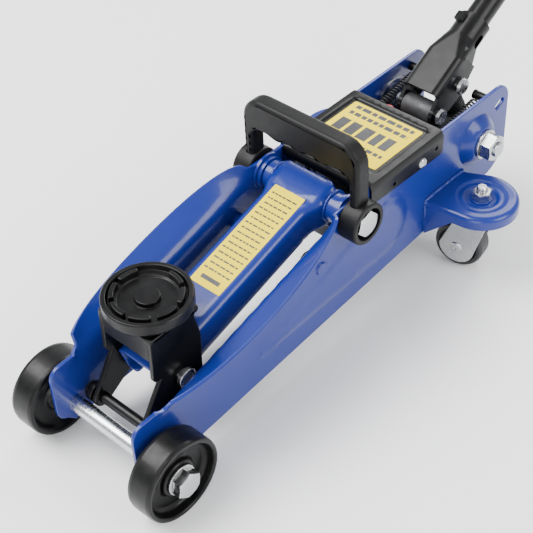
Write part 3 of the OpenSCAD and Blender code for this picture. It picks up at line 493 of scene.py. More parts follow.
def flat_yz(x):
    """Carries (u, v) to (y, z) on the plane X = x, facing +X."""
    return lambda uv: np.column_stack([np.full(len(uv), x), uv[:, 0], uv[:, 1]])


def circle(cx, cy, r, n=48):
    return np.array([(cx + r * math.cos(TAU * k / n), cy + r * math.sin(TAU * k / n)) for k in range(n)])


def sweep(path, radius, segs=10, closed_ends=True, radii=None):
    """Round bar along a path of points."""
    p = np.asarray(path, float)
    t = np.gradient(p, axis=0)
    t /= np.linalg.norm(t, axis=1)[:, None]
    x = np.cross(t[0], [0.3, 0.9, 0.2])
    x /= np.linalg.norm(x)
    verts, rows = [], []
    for i in range(len(p)):
        x = x - t[i] * (x @ t[i])
        x /= np.linalg.norm(x)
        y = np.cross(t[i], x)
        r = radii[i] if radii is not None else radius
        rows.append(list(range(len(verts), len(verts) + segs)))
        for k in range(segs):
            a = TAU * k / segs
            verts.append(p[i] + r * (x * math.cos(a) + y * math.sin(a)))
    faces = [(a[k], a[(k + 1) % segs], b[(k + 1) % segs], b[k])
             for a, b in zip(rows, rows[1:]) for k in range(segs)]
    if closed_ends:
        faces.append(tuple(reversed(rows[0])))
        faces.append(tuple(rows[-1]))
    return verts, faces


def smoothstep(x):
    """Rises smoothly from 0 to 1 as x does, and is level beyond."""
    x = np.clip(x, 0, 1)
    return x * x * (3 - 2 * x)


def arc(cx, cy, r, a0, a1, n=8):
    """Points round a centre from one angle to another, in degrees."""
    return [(cx + r * math.cos(math.radians(a0 + (a1 - a0) * k / n)),
             cy + r * math.sin(math.radians(a0 + (a1 - a0) * k / n))) for k in range(n + 1)]


# -------------------------------- side plates: blank carried round the flared lip

LIP0, LIP1, LIPC, LIP_TURN, LIP_R = 17.0, 194.0, 188.0, 65.0, 8.0
BEND_REAR, BEND_FRONT = 110.6, 65.5
MID = 40.0
TRUNNION = (-151.0, 89.5)
BOSS_R, BOSS_WALL, BOSS_DEEP = 21.5, 7.5, 7.4
BEAD0, BEAD1 = np.array([-38.0, 75.0]), np.array([95.0, 50.0])
BEAD_WALL, BEAD_DEEP = 4.5, 2.4
SLOT, SLOT_TURN, SLOT_HALF, SLOT_R = np.array([-180.0, 107.0]), math.radians(25), 3.2, 2.8


def bend_z(x):
    """Height at which the lip starts to turn outward."""
    return BEND_FRONT + (BEND_REAR - BEND_FRONT) * (LIPC - x) / (LIPC - LIP0)


def swell(x):
    """1 at the middle of the lip and 0 at its ends."""
    t = 2 * (x - LIP0) / (LIP1 - LIP0) - 1
    return np.sqrt(np.maximum(0, 1 - t * t))


def capsule_depth(x, z, r0=26.0, r1=4.0):
    """Distance from the edge of the tapered bead, less than 0 inside it."""
    d = BEAD1 - BEAD0
    length = np.linalg.norm(d)
    d = d / length
    px, pz = x - BEAD0[0], z - BEAD0[1]
    along = px * d[0] + pz * d[1]
    side = np.abs(-px * d[1] + pz * d[0])
    b = (r0 - r1) / length
    a = math.sqrt(1 - b * b)
    k = -b * side + a * along
    near = np.hypot(side, along) - r0
    far = np.hypot(side, along - length) - r1
    mid = a * side + b * along - r0
    return np.where(k < 0, near, np.where(k > a * length, far, mid))


def capsule_loop(r0, r1, n=40):
    """Outline of the tapered bead with the end radii given."""
    d = BEAD1 - BEAD0
    length = np.linalg.norm(d)
    b = math.degrees(math.asin((r0 - r1) / length))
    turn = math.degrees(math.atan2(d[1], d[0]))
    return arc(BEAD1[0], BEAD1[1], r1, turn - 90 + b, turn + 90 - b, n // 2) + \
        arc(BEAD0[0], BEAD0[1], r0, turn + 90 - b, turn + 270 + b, n)


def side_plate_space(uv):
    """Bends the flat blank outward at the lip and presses the bead and the boss into it."""
    x, s = uv[:, 0], uv[:, 1]
    bz = bend_z(x)
    sw = swell(x)
    turn = np.radians(LIP_TURN) * np.power(sw, 0.8)
    q = np.maximum(0, s - bz)
    on = (x > LIP0) & (x < LIP1)
    turn = np.where(on, turn, 0)
    a = np.minimum(q / LIP_R, turn)
    rest = q - a * LIP_R
    y = MID + LIP_R * (1 - np.cos(a)) + rest * np.sin(turn)
    z = np.where(q > 0, bz + LIP_R * np.sin(a) + rest * np.cos(turn), s)
    pressed = smoothstep(-capsule_depth(x, s) / BEAD_WALL) * BEAD_DEEP
    d = np.hypot(x - TRUNNION[0], s - TRUNNION[1])
    pressed = pressed + smoothstep((BOSS_R - d) / BOSS_WALL) * BOSS_DEEP
    return np.column_stack([x, y + pressed, z])


def side_plate_outline():
    """Flat blank of a side plate: foot, nose, lip, rear corner and heel."""
    xs = np.linspace(LIPC - 0.5, LIP0, 60)
    lip = [(x, bend_z(x) + 12.7 + 14.6 * swell(x)) for x in xs]
    nose = list(rounded([(217, 33), (217, 72), (195, 72.5), (188.6, 75), (lip[0][0] + 0.1, lip[0][1])],
                        [0, 10, 7, 4, 0], 6))
    meeting = list(rounded([nose[-2]] + lip[:3], [0, 2.5, 0, 0], 4))
    rear = arc(-177, 108.5, 15, 90, 180, 10) + arc(-166, 70, 26, 180, 265, 12)
    return arc(206, 33, 11, -70, 0, 6)[:-1] + nose[:-1] + meeting[1:-1] + lip[2:] + rear + [(203.0, 16.1)]


def slot_hole():
    c, s = math.cos(SLOT_TURN), math.sin(SLOT_TURN)
    return [(SLOT[0] + x * c + z * s, SLOT[1] - x * s + z * c) for x, z in
            arc(SLOT_HALF, 0, SLOT_R, -90, 90, 8) + arc(-SLOT_HALF, 0, SLOT_R, 90, 270, 8)]


plate_v, plate_f = plate(side_plate_outline(), side_plate_space, 3.0, step=5.0, holes=[slot_hole()],
                         features=[capsule_loop(25.8, 3.8), capsule_loop(23.6, 1.6)] +
                         [circle(*TRUNNION, r, n) for r, n in ((21.3, 40), (17.5, 40), (14.2, 36))], rim=0.7)
for side, name in ((1, "left"), (-1, "right")):
    sheet = Shell().add(plate_v, plate_f, mirror=side < 0)
    sheet.done("side_plate_%s_sheet" % name, "frame", "jack_blue", "side_plate_" + name, angle=50)

# -------------------------------- caster brackets

CX, CY, EAR_R, EAR_Z = -119.0, 71.0, 29.0, 69.0
EAR_ROOT_Y, SHOULDER, SKIRT_LOW, SKIRT_HIGH = 41.0, 4.0, 37, 59


def dish(r):
    """Depth of the two pressed steps round the kingpin."""
    return -2.6 * (1 - smoothstep((r - 11.5) / 3.0)) \
        - 0.9 * (1 - smoothstep((r - 18.0) / 1.6)) * smoothstep((r - 13) / 2)


def ear():
    """Pressed ear: rings from the swivel axis out to the outline, over its shoulder and down the skirt."""
    line = resample([(-86, EAR_ROOT_Y)] + arc(CX, CY, EAR_R, 10, 200, 56) + [(-136, EAR_ROOT_Y)], 1.6)
    d = line - [CX, CY]
    reach = np.hypot(d[:, 0], d[:, 1])
    unit = d / reach[:, None]
    root = line[:, 1] < EAR_ROOT_Y + 0.2
    n = len(line)
    rings = []

    def add_ring(r, z):
        rings.append(np.column_stack([CX + unit[:, 0] * r, CY + unit[:, 1] * r, z]))

    last = 19.8
    radii = [np.full(n, r) for r in (4.2, 9.0, 11.3, 12.3, 13.3, 14.6, 16.2, 17.4, 18.6, last)]
    radii += [last + (np.maximum(last + 0.1, reach - SHOULDER) - last) * k / 4 for k in range(1, 5)]
    for r in radii:
        r = np.minimum(r, reach - np.where(root, 0.01, 0))
        add_ring(r, EAR_Z + dish(r))
    for a in (20, 40, 60, 75, 90):
        t = math.radians(a)
        add_ring(np.where(root, reach, reach - SHOULDER + SHOULDER * math.sin(t)),
                 np.where(root, EAR_Z - 0.02 * a / 20, EAR_Z - SHOULDER + SHOULDER * math.cos(t)))
    top = EAR_Z - SHOULDER
    low = SKIRT_LOW + (SKIRT_HIGH - SKIRT_LOW) * np.clip((line[:, 1] - 41.5) / 24, 0, 1)
    low = np.minimum(low, top - 2)
    for f in (0.35, 0.7, 1.0):
        add_ring(reach, np.where(root, EAR_Z - 0.1 - f * 2.5, top + (low - top) * f))
    faces = []
    for a in range(0, (len(rings) - 1) * n, n):
        for k in range(n):
            k2 = (k + 1) % n
            faces.append((a + k, a + n + k, a + n + k2, a + k2))
    return np.vstack(rings), faces


def weld_path(points, r, seed, ripple=2.2):
    """Weld bead: a bar along a line whose thickness ripples and drifts."""
    p = resample_line(points, 0.45)
    rng = np.random.default_rng(seed)
    s = np.cumsum(np.r_[0, np.linalg.norm(np.diff(p, axis=0), axis=1)])
    wob = 0.10 * np.interp(s, np.linspace(0, s[-1], 24), rng.standard_normal(24))
    radii = r * (1 + 0.10 * np.abs(np.sin(s / ripple * math.pi)) + wob)
    radii *= np.clip(np.minimum(s, s[-1] - s) / 2.0 + 0.25, 0, 1) ** 0.5
    return sweep(p, r, 10, True, radii)


def resample_line(points, step):
    """Adds points along an open line."""
    a = np.asarray(points, float)
    out = []
    for p, q in zip(a, a[1:]):
        n = max(1, int(np.linalg.norm(q - p) / step + 0.5))
        out += [p + (q - p) * k / n for k in range(n)]
    out.append(a[-1])
    return np.array(out)


ear_v, ear_f = ear()
for side, name in ((1, "left"), (-1, "right")):
    s = Shell().add(ear_v, ear_f, mirror=side < 0)
    o = s.done("caster_bracket_%s_pressing" % name, "frame", "jack_blue", "caster_bracket_" + name, angle=50)
    sol = o.modifiers.new("thickness", "SOLIDIFY")
    sol.thickness = 0.003
    sol.offset = -1
    bev = o.modifiers.new("edge", "BEVEL")
    bev.width = 0.0006
    bev.segments = 2
    bev.limit_method = "ANGLE"
    bev.angle_limit = math.radians(60)
    o.modifiers.move(0, 2)
    w = Shell()
    v, f = weld_path([(-86, 42.0, 69.6), (-100, 42.2, 70.2), (-122, 42.2, 70.2), (-136, 42.0, 69.6)], 1.8, 5)
    w.add(v, f, mirror=side < 0)
    v, f = weld_path([(-86.5, 42.2, 66), (-87.3, 42.2, 54), (-88, 42.0, 40)], 1.4, 6)
    w.add(v, f, mirror=side < 0)
    w.done("caster_bracket_%s_weld" % name, "frame", "jack_blue", angle=60)

# -------------------------------- front axle and wheels

AXLE = (AXLE_X, 0, 32)
AXLE_HALF, AXLE_R, WHEEL_Y, WHEEL_W = 66.35, 6.0, 58, 20.7
axle = Shell()
axle.add(*lathe(rounded([(0, -AXLE_HALF), (AXLE_R, -AXLE_HALF), (AXLE_R, AXLE_HALF), (0, AXLE_HALF)],
                        [0, 0.3, 0.3, 0], 4), AXLE, (0, 1, 0), 64))
axle.done("front_axle_rod", "frame", "zinc", "front_axle", mats=["zinc_turned"])
wash, heads = Shell(), Shell()
for side in (1, -1):
    ax = (0, side, 0)
    wash.add(*lathe(disc(11.5, 41.5, 43.5, 0.4, AXLE_R), AXLE, ax, 64))
    wash.add(*lathe(disc(9.5, 43.5, 50.3, 0.4, AXLE_R), AXLE, ax, 64))
    wash.add(*lathe(disc(11.5, 64.65, AXLE_HALF, 0.5, AXLE_R), AXLE, ax, 64))
    heads.add(*hexagon(18, 7.4, (AXLE_X, side * 66.4, 32), ax, 0.985, spin=0.35 * side))
wash.done("front_axle_washer_set", "frame", "zinc", "front_axle_washers")
heads.done("front_axle_bolt_heads", "frame", "zinc", "front_axle_bolts", angle=25)

h = WHEEL_W / 2
wheel_profile = rounded(
    [(6.05, -h + 3), (12, -h + 3), (14, -h + 6), (25, -h + 6), (27, -h + 1.5), (28.4, -h), (31.2, -h),
     (32, -h + 3), (32, h - 3), (31.2, h), (28.9, h), (28.0, h - 0.9), (27.0, h - 6.2), (24.6, h - 8.0),
     (15.8, h - 8.5), (14.5, h - 7.6), (14.0, h - 4.8), (13.0, h - 4.0), (6.05, h - 4)],
    [0, 0.8, 1.5, 2, 1.2, 0.8, 1.4, 2.5, 2.5, 1.2, 0.8, 0.9, 3.0, 3.0, 1.4, 0.8, 0.8, 0.5, 0], 4)
for side, name in ((1, "left"), (-1, "right")):
    wheel = Shell().add(*lathe(wheel_profile, (AXLE_X, side * WHEEL_Y, 32), (0, side, 0), 128))
    wheel.done("front_wheel_%s_cast" % name, "front_wheel_" + name, "wheel_black", "front_wheel_" + name,
               angle=45)

# -------------------------------- arm pivot, trunnions and cover screws

PIVOT = (0, 0, 112.0)
COVER_SCREW = (-79.5, 0, 111)
bolts, trun, twash, screws = Shell(), Shell(), Shell(), Shell()
for side in (1, -1):
    ax = (0, side, 0)
    bolts.add(*lathe(disc(5.5, 22, 51, 0.5), PIVOT, ax, 48))
    bolts.add(*lathe(disc(11, 50.4, 52.0, 0.6), PIVOT, ax, 72))
    bolts.add(*hexagon(18.6, 5.8, (0, side * 52.0, 112), ax, 0.93, spin=0.25))
    c = (TRUNNION[0], 0, TRUNNION[1])
    trun.add(*lathe(disc(6, 9.5, 52, 0.5), c, ax, 48))
    trun.add(*hexagon(19, 9.6, (TRUNNION[0], side * 51.4, TRUNNION[1]), ax, 0.93, bore=6.0, spin=0.5))
    trun.add(*lathe(disc(6, 52, 63.4, 1.0), c, ax, 48))
    twash.add(*lathe(disc(12, 49, 51.4, 0.6, 6.0), c, ax, 72))
    twash.add(*lathe(disc(9.5, 22, 46, 0.5, 6.0), c, ax, 48))
    screws.add(*lathe(disc(2, 35.5, 44, 0.3), COVER_SCREW, ax, 24))
    bend = np.radians([25, 35, 45, 55, 65, 75, 83, 90])
    dome = [(4.2 * math.sin(t), 43.4 + 2.4 * math.cos(t)) for t in bend]
    screws.add(*lathe([(0.0, 45.8), (0.9, 44.6), (1.6, 45.7)] + dome + [(0.0, 43.4)], COVER_SCREW, ax, 40))
bolts.done("pivot_bolt_pair", "frame", "zinc", "pivot_bolts", angle=25)
trun.done("trunnion_bolt_pair", "frame", "zinc", "trunnion_bolts", angle=25)
twash.done("trunnion_washer_set", "frame", "zinc", "trunnion_washers")
screws.done("cover_screw_pair", "frame", "zinc", "cover_screws")

# -------------------------------- lifting arm

ARM_R, SADDLE_PIN_Z = 162.6, 66
ARM_LOW = math.asin((SADDLE_PIN_Z - 112) / ARM_R)
SADDLE_X = ARM_R * math.cos(ARM_LOW)
ARM_UP = np.array([-math.sin(ARM_LOW), 0, math.cos(ARM_LOW)])
ARM_ALONG = np.array([math.cos(ARM_LOW), 0, math.sin(ARM_LOW)])


def in_arm(u, y, w):
    """Carries u along the arm, y across it and w above its axis into space."""
    u, y, w = np.atleast_1d(u), np.atleast_1d(y), np.atleast_1d(w)
    across = np.array([0, 1.0, 0])
    return np.array(PIVOT) + u[:, None] * ARM_ALONG + w[:, None] * ARM_UP + y[:, None] * across


def channel(v):
    """Middle surface of the arm's section: v is the developed distance from the middle of the top."""
    s, sign = np.abs(v), np.sign(v)
    a = np.clip((s - 15) / 3.5, 0, math.pi / 2)
    s2 = np.clip(s - 15 - 3.5 * math.pi / 2, 0, None)
    side = np.minimum(s2, 18)
    a2 = np.clip((s2 - 18) / 1.5, 0, math.pi / 2)
    inward = np.clip(s2 - 18 - 1.5 * math.pi / 2, 0, None)
    y = np.minimum(s, 15) + 3.5 * np.sin(a) - 1.5 * (1 - np.cos(a2)) - inward
    w = 12.5 - 3.5 * (1 - np.cos(a)) - side - 1.5 * np.sin(a2)
    return y * sign, w


def arm_space(uv):
    """Folds the flat blank into the arm's channel, wider at the pivot and turned down behind it."""
    u, v = uv[:, 0], uv[:, 1]
    y, w = channel(v)
    half = 20 + 6 * (1 - smoothstep((u - 8) / 16))
    y = y * half / 20
    drop = np.clip((-6.5 - u) / 3.0, 0, math.pi / 2)
    over = np.clip(-6.5 - u - 3.0 * math.pi / 2, 0, None)
    uu = np.where(u < -6.5, -6.5 - 3.0 * np.sin(drop), u)
    w = w - np.where(u < -6.5, 3.0 * (1 - np.cos(drop)) + over, 0)
    crease = 0.8 * (1 - smoothstep(np.abs(u - 17 + 0.3 * np.abs(y)) / 2.2)) * (np.abs(v) < 15)
    return in_arm(uu, y, w - crease)


vmax = 15 + 3.5 * math.pi / 2 + 18 + 1.5 * math.pi / 2 + 7
arm_outline = rounded(
    [(-7, 17), (-7, 40), (28, 40), (31, vmax), (176, vmax), (176, -vmax), (31, -vmax), (28, -40), (-7, -40),
     (-7, -17), (-9, -15), (-24, -15), (-24, 15), (-9, 15)],
    [1, 2, 2, 2, 3, 3, 2, 2, 2, 1, 1, 2, 2, 1], 3)
arm = Shell()
arm.add(*plate(arm_outline, arm_space, 3.0, step=3.2, rim=0.6))
arm.add(*lathe(rounded([(8.05, -33), (11, -33), (11, 33), (8.05, 33)], [0.4, 0.7, 0.7, 0.4], 3), PIVOT,
               (0, 1, 0), 64))
PHI = math.radians(-35.353)
LEVER_R = 40
lever_pin = (LEVER_R * math.sin(PHI), 112 - LEVER_R * math.cos(PHI))


def lever_loop():
    """Outline of a lever plate, from the pivot to the ram's pin."""
    d = np.array([math.sin(PHI), -math.cos(PHI)])
    a = math.degrees(math.atan2(d[1], d[0]))
    return arc(0, 112, 13, a + 94, a + 266, 24) + arc(lever_pin[0], lever_pin[1], 11, a - 86, a + 86, 20)


for y in (15, -15):
    arm.add(*plate(lever_loop(), flat_xz(y), 4.0, step=6, rim=0.5))
for y in (25.6, -25.6):
    around = np.radians(np.arange(-60, 230, 6))
    arm.add(*weld_path([(11.3 * math.cos(t), y, 112 + 11.3 * math.sin(t)) for t in around], 1.2, 9))
arm.done("lift_arm_channel", "lift_arm", "jack_blue", "lift_arm", angle=50)

LABEL_THICK = 0.3
arm_label = Shell()


def on_arm(uv):
    """The face of the arm's top, just under its label."""
    return in_arm(uv[:, 0], uv[:, 1], np.full(len(uv), 14.15))


arm_label.add(*plate(rounded([(13, -14), (107, -14), (107, 14), (13, 14)], 0.8, 3), on_arm, LABEL_THICK,
                     step=8, rim=0.1))


def bar(shell, x0, x1, y0, y1, space, mat=1):
    """Printed bar: a thin closed slab lying on a label."""
    uv = np.array([(x0, y0), (x1, y0), (x1, y1), (x0, y1)], float)
    p = space(uv)
    eps = 0.01
    n = np.cross(space(uv + [eps, 0]) - p, space(uv + [0, eps]) - p)
    n /= np.linalg.norm(n, axis=1)[:, None]
    shell.add(np.vstack([p + n * 0.10, p + n * 0.19]),
              [(3, 2, 1, 0), (4, 5, 6, 7), (0, 1, 5, 4), (1, 2, 6, 5), (2, 3, 7, 6), (3, 0, 4, 7)], mat)


rng = np.random.default_rng(4)
bar(arm_label, 98.5, 101.8, -8.5, 8.5, on_arm)
for k in range(16):
    u = 92.5 - 4.9 * k
    widths = 10.5 + 1.5 * rng.random()
    y = -widths
    while y < widths:
        w = 1.6 + 3.4 * rng.random()
        bar(arm_label, u, u + 1.25, y, min(widths, y + w), on_arm)
        y += w + 0.7
arm_label.done("arm_label_film", "lift_arm", "label", "arm_label", mats=["label", "ink"])

pins = Shell()
sc = (SADDLE_X, 0, SADDLE_PIN_Z)
pins.add(*lathe(disc(5, -27, 27, 0.3), sc, (0, 1, 0), 40))
pin_head = rounded([(0, 27), (7.6, 27), (7.6, 30.8), (6.4, 31.6), (0, 31.6)], [0, 0.5, 0.6, 0.5, 0], 3)
for side in (1, -1):
    pins.add(*lathe(pin_head, sc, (0, side, 0), 56))
pins.done("saddle_pin_headed", "lift_arm", "zinc", "saddle_pin")

# -------------------------------- saddle bracket, saddle and links

LOW_PIN = (SADDLE_X + 33, 39.0)
tail = arc(LOW_PIN[0], LOW_PIN[1], 7.5, 25, -135, 12)
leg = rounded([(134, 114), (179, 114), (179.5, 92), (181, 70)], [3, 3, 12, 16], 5)
inner_edge = rounded([tail[-1], (164, 46), (137, 56), (135.5, 90), (134, 114)], [0, 6, 4, 10, 0], 5)
leg = np.vstack([leg, tail, inner_edge[1:-1]])
brk = Shell()
for y in (23, -23):
    brk.add(*plate(leg, flat_xz(y), 4.0, step=6, rim=0.9))
brk.add(*plate(rounded([(134, -25), (179, -25), (179, 25), (134, 25)], 3.5, 6), flat_xy(112), 4.0, step=6,
               holes=[circle(SADDLE_X, 0, 8.05, 40)], rim=1.2, rim_n=4))
brk.add(*plate(rounded([(-24.8, 93.6), (24.8, 93.6), (24.8, 113), (-24.8, 113)], [4, 4, 1, 1], 5),
               flat_yz(177.2), 3.4, step=6, rim=0.9))
brk.done("saddle_bracket_fold", "saddle_bracket", "black_paint", "saddle_bracket", angle=50)

rod = Shell()
lc = (LOW_PIN[0], 0, LOW_PIN[1])
rod.add(*lathe(disc(4, -34.4, 34.4, 0.5), lc, (0, 1, 0), 40))
for side in (1, -1):
    rod.add(*lathe(disc(6, 33.3, 34.8, 0.5), lc, (0, side, 0), 48))
rod.done("link_front_rod", "saddle_bracket", "black_paint", "link_front_pin")

R = 31.0
floor_z, lug_in, lug_out, top, ledge = 121.0, 0.69 * R, 0.82 * R, 127.0, 122.0
sp = rounded([(0, 106.6), (6, 106.6), (6, 109.5), (8, 109.5), (8, 114.3), (R - 5, 114.3), (R - 1.5, 115.8),
              (R, 118), (R, top - 1.8), (R - 0.8, top - 1.0), (lug_out + 1.8, top - 1.0), (lug_out + 0.9, ledge),
              (lug_in + 0.2, ledge), (lug_in - 1.0, floor_z), (9.2, floor_z), (8.6, floor_z + 3.1),
              (0, floor_z + 3.2)],
             [0, 0.3, 0.2, 0.2, 0.5, 2, 1.5, 2, 0.8, 0.8, 0.8, 0.4, 0.4, 0.6, 0.4, 0.7, 0], 4)
sad = Shell()
sad.add(*lathe(sp, (SADDLE_X, 0, 0), (0, 0, 1), 128))
LUGS, PLACE, GAP, FIRST_LUG, LUG_H = 7, 45.0, 9.0, -100.5, 5.4
lug_mid = (lug_in + lug_out) / 2


def lug_space(turn):
    """Carries (u, v) to a lug turned from the front: u round the rim, v out from its axis."""
    def where(uv):
        t = np.radians(turn) + uv[:, 0] / lug_mid
        return np.column_stack([SADDLE_X + uv[:, 1] * np.cos(t), uv[:, 1] * np.sin(t),
                                np.full(len(uv), top - LUG_H / 2)])
    return where


half = math.radians(PLACE - GAP) / 2 * lug_mid
near, far = lug_in + 0.2, lug_out - 0.2
lug = rounded([(-half, near), (half, near), (half, far), (-half, far)], 0.9, 3)
for i in range(LUGS):
    sad.add(*plate(lug, lug_space(FIRST_LUG + PLACE * i), LUG_H, step=2.5, rim=0.7))
sad.done("saddle_cup", "saddle", "black_paint", "saddle", angle=45)

LINK_Y = 29.6
for side, name in ((1, "left"), (-1, "right")):
    lk = Shell()
    a = np.array([33.0, side * LINK_Y, 85.0])
    b = np.array([LOW_PIN[0], side * LINK_Y, LOW_PIN[1]])
    lk.add(*sweep([a + (b - a) * t for t in np.linspace(0.02, 0.98, 12)], 3.4, 24))
    eye = rounded([(4.05, -2.6), (7.4, -2.6), (7.4, 2.6), (4.05, 2.6)], [0.3, 0.7, 0.7, 0.3], 3)
    for c in (a, b):
        lk.add(*lathe(eye, c, (0, 1, 0), 48))
    lk.done("link_rod_%s_bar" % name, "link_rods", "black_paint", "link_rod_" + name, angle=50)

# -------------------------------- carry handle

# Bail: outer and inner half widths, top, and underside of the grip with its finger waves
BO, BI, BT, BW = 53.0, 44.4, 176.0, 151.0
waves = [(32 - 64 * i / 48, BW - 2.2 * math.sin(math.radians(i * 11.25)) ** 2) for i in range(49)]
bail = [(BO, 105)] + arc(BO - 17, BT - 17, 17, 0, 90, 10) + arc(-BO + 17, BT - 17, 17, 90, 180, 10) + \
    [(-BO, 105), (-BI, 105)] + arc(-BI + 8, BW - 8, 8, 180, 90, 6) + waves[::-1] + \
    arc(BI - 8, BW - 8, 8, 90, 0, 6) + [(BI, 105)]
ch = Shell()
ch.add(*plate(bail, flat_yz(0), 14.0, step=3.5, rim=3.4, rim_n=6))
for side in (1, -1):
    prof = rounded([(5.6, 42.2), (16.3, 42.2), (16.3, 58), (12.4, 58), (12.4, 50.1), (5.6, 50.1)],
                   [0.2, 1.2, 1.6, 0.6, 0.4, 0.2], 4)
    ch.add(*lathe(prof, PIVOT, (0, side, 0), 96))
ch.done("carry_handle_moulding", "carry_handle", "black_plastic", "carry_handle", angle=45)

# -------------------------------- cover

C_REAR, C_FRONT, C_TOP, C_HALF = -105.0, -17.2, 125.4, 43.4
CB = 2.6
flat_half = C_HALF - 0.8 - CB


def rect_depth(x, y, cx, cy, hx, hy, r):
    """Distance from the edge of a rounded rectangle, less than 0 inside it."""
    qx, qy = np.abs(x - cx) - hx + r, np.abs(y - cy) - hy + r
    return np.hypot(np.maximum(qx, 0), np.maximum(qy, 0)) + np.minimum(np.maximum(qx, qy), 0) - r


def cover_space(uv):
    """Folds the flat blank down at the sides and the front and presses the label's recess into its top."""
    u, v = uv[:, 0], uv[:, 1]
    s, sign = np.abs(v), np.sign(v)
    a = np.clip((s - flat_half) / CB, 0, math.pi / 2)
    down = np.clip(s - flat_half - CB * math.pi / 2, 0, None)
    y = (np.minimum(s, flat_half) + CB * np.sin(a)) * sign
    z = C_TOP - 0.8 - CB * (1 - np.cos(a)) - down
    f0 = C_FRONT - 0.8 - CB
    b = np.clip((u - f0) / CB, 0, math.pi / 2)
    fall = np.clip(u - f0 - CB * math.pi / 2, 0, None)
    x = np.minimum(u, f0) + CB * np.sin(b)
    z = z - CB * (1 - np.cos(b)) - fall
    depth = 1.6 * smoothstep(-rect_depth(u, v, -66, 0, 33, 36, 5) / 1.5)
    return np.column_stack([x, y, z - depth])


def rect_loop(cx, cy, hx, hy, r, n=8):
    return arc(cx + hx - r, cy + hy - r, r, 0, 90, n) + arc(cx - hx + r, cy + hy - r, r, 90, 180, n) + \
        arc(cx - hx + r, cy - hy + r, r, 180, 270, n) + arc(cx + hx - r, cy - hy + r, r, 270, 360, n)


def flange_v(z):
    """Developed distance from the middle of the cover to the height z on its side."""
    return flat_half + CB * math.pi / 2 + (C_TOP - 0.8 - CB - z)


fv = flange_v(105)
front_u = C_FRONT - 0.8 - CB
tip = front_u + CB * math.pi / 2 + (C_TOP - 0.8 - CB - 117)
cover_outline = rounded([(C_REAR, -fv), (front_u, -fv + 3), (front_u, -38.1), (tip, -37.9), (tip, 37.9),
                         (front_u, 38.1), (front_u, fv - 3), (C_REAR, fv)], [4, 5, 0.4, 3, 3, 0.4, 5, 4], 4)
cover = Shell()
cover.add(*plate(cover_outline, cover_space, 1.6, step=4,
                 holes=[circle(x, s * flange_v(z), 1.7, 16)
                        for s in (1, -1) for x, z in ((-96.5, 114), (-47, 111.5))],
                 features=[rect_loop(-66, 0, 33 - d, 36 - d, 5 - d) for d in (0.0, 0.5, 1.0, 1.5)],
                 rim=0.35, rim_n=2))
cover.done("top_cover_pressing", "frame", "black_paint", "top_cover", angle=50)

lab = Shell()


def on_cover(uv):
    """The floor of the cover's recess, just under its label."""
    return np.column_stack([uv[:, 0], uv[:, 1], np.full(len(uv), C_TOP - 1.6 + 0.15)])


lab.add(*plate(rounded([(-95, -32), (-38, -32), (-38, 32), (-95, 32)], 1.5, 4), on_cover, LABEL_THICK,
               step=10, rim=0.1))
rng = np.random.default_rng(8)


def words(shell, x0, x1, y0, y1, low, high, gap):
    """Row of printed bars of random length."""
    y = y0
    while y < y1 - 0.5:
        w = low + (high - low) * rng.random()
        bar(shell, x0, x1, y, min(y1, y + w), on_cover)
        y += w + gap


for x0, x1, y1, low, high, gap in ((-92.0, -88.0, 27, 3.0, 8.0, 1.3), (-84.0, -80.0, 27, 3.0, 8.0, 1.3),
                                   (-74.0, -59.0, 27, 6.0, 10.0, 2.6), (-53.5, -50.0, 27, 3.0, 7.0, 1.3),
                                   (-46.0, -43.2, 20, 3.0, 6.0, 1.3)):
    words(lab, x0, x1, -27, y1, low, high, gap)
lab.done("cover_label_film", "frame", "label", "cover_label", mats=["label", "ink"])

# -------------------------------- casters

REST = math.radians(10)
LEG_Y = CY - 13.0
CASTER_Z = 20


def rested(part):
    """Turns a piece built with its trail straight inward to the angle at which the casters rest."""
    v, f = part
    v = np.asarray(v, float) - [CX, CY, 0]
    c, s = math.cos(REST), math.sin(REST)
    return np.column_stack([v[:, 0] * c - v[:, 1] * s, v[:, 0] * s + v[:, 1] * c, v[:, 2]]) + [CX, CY, 0], f


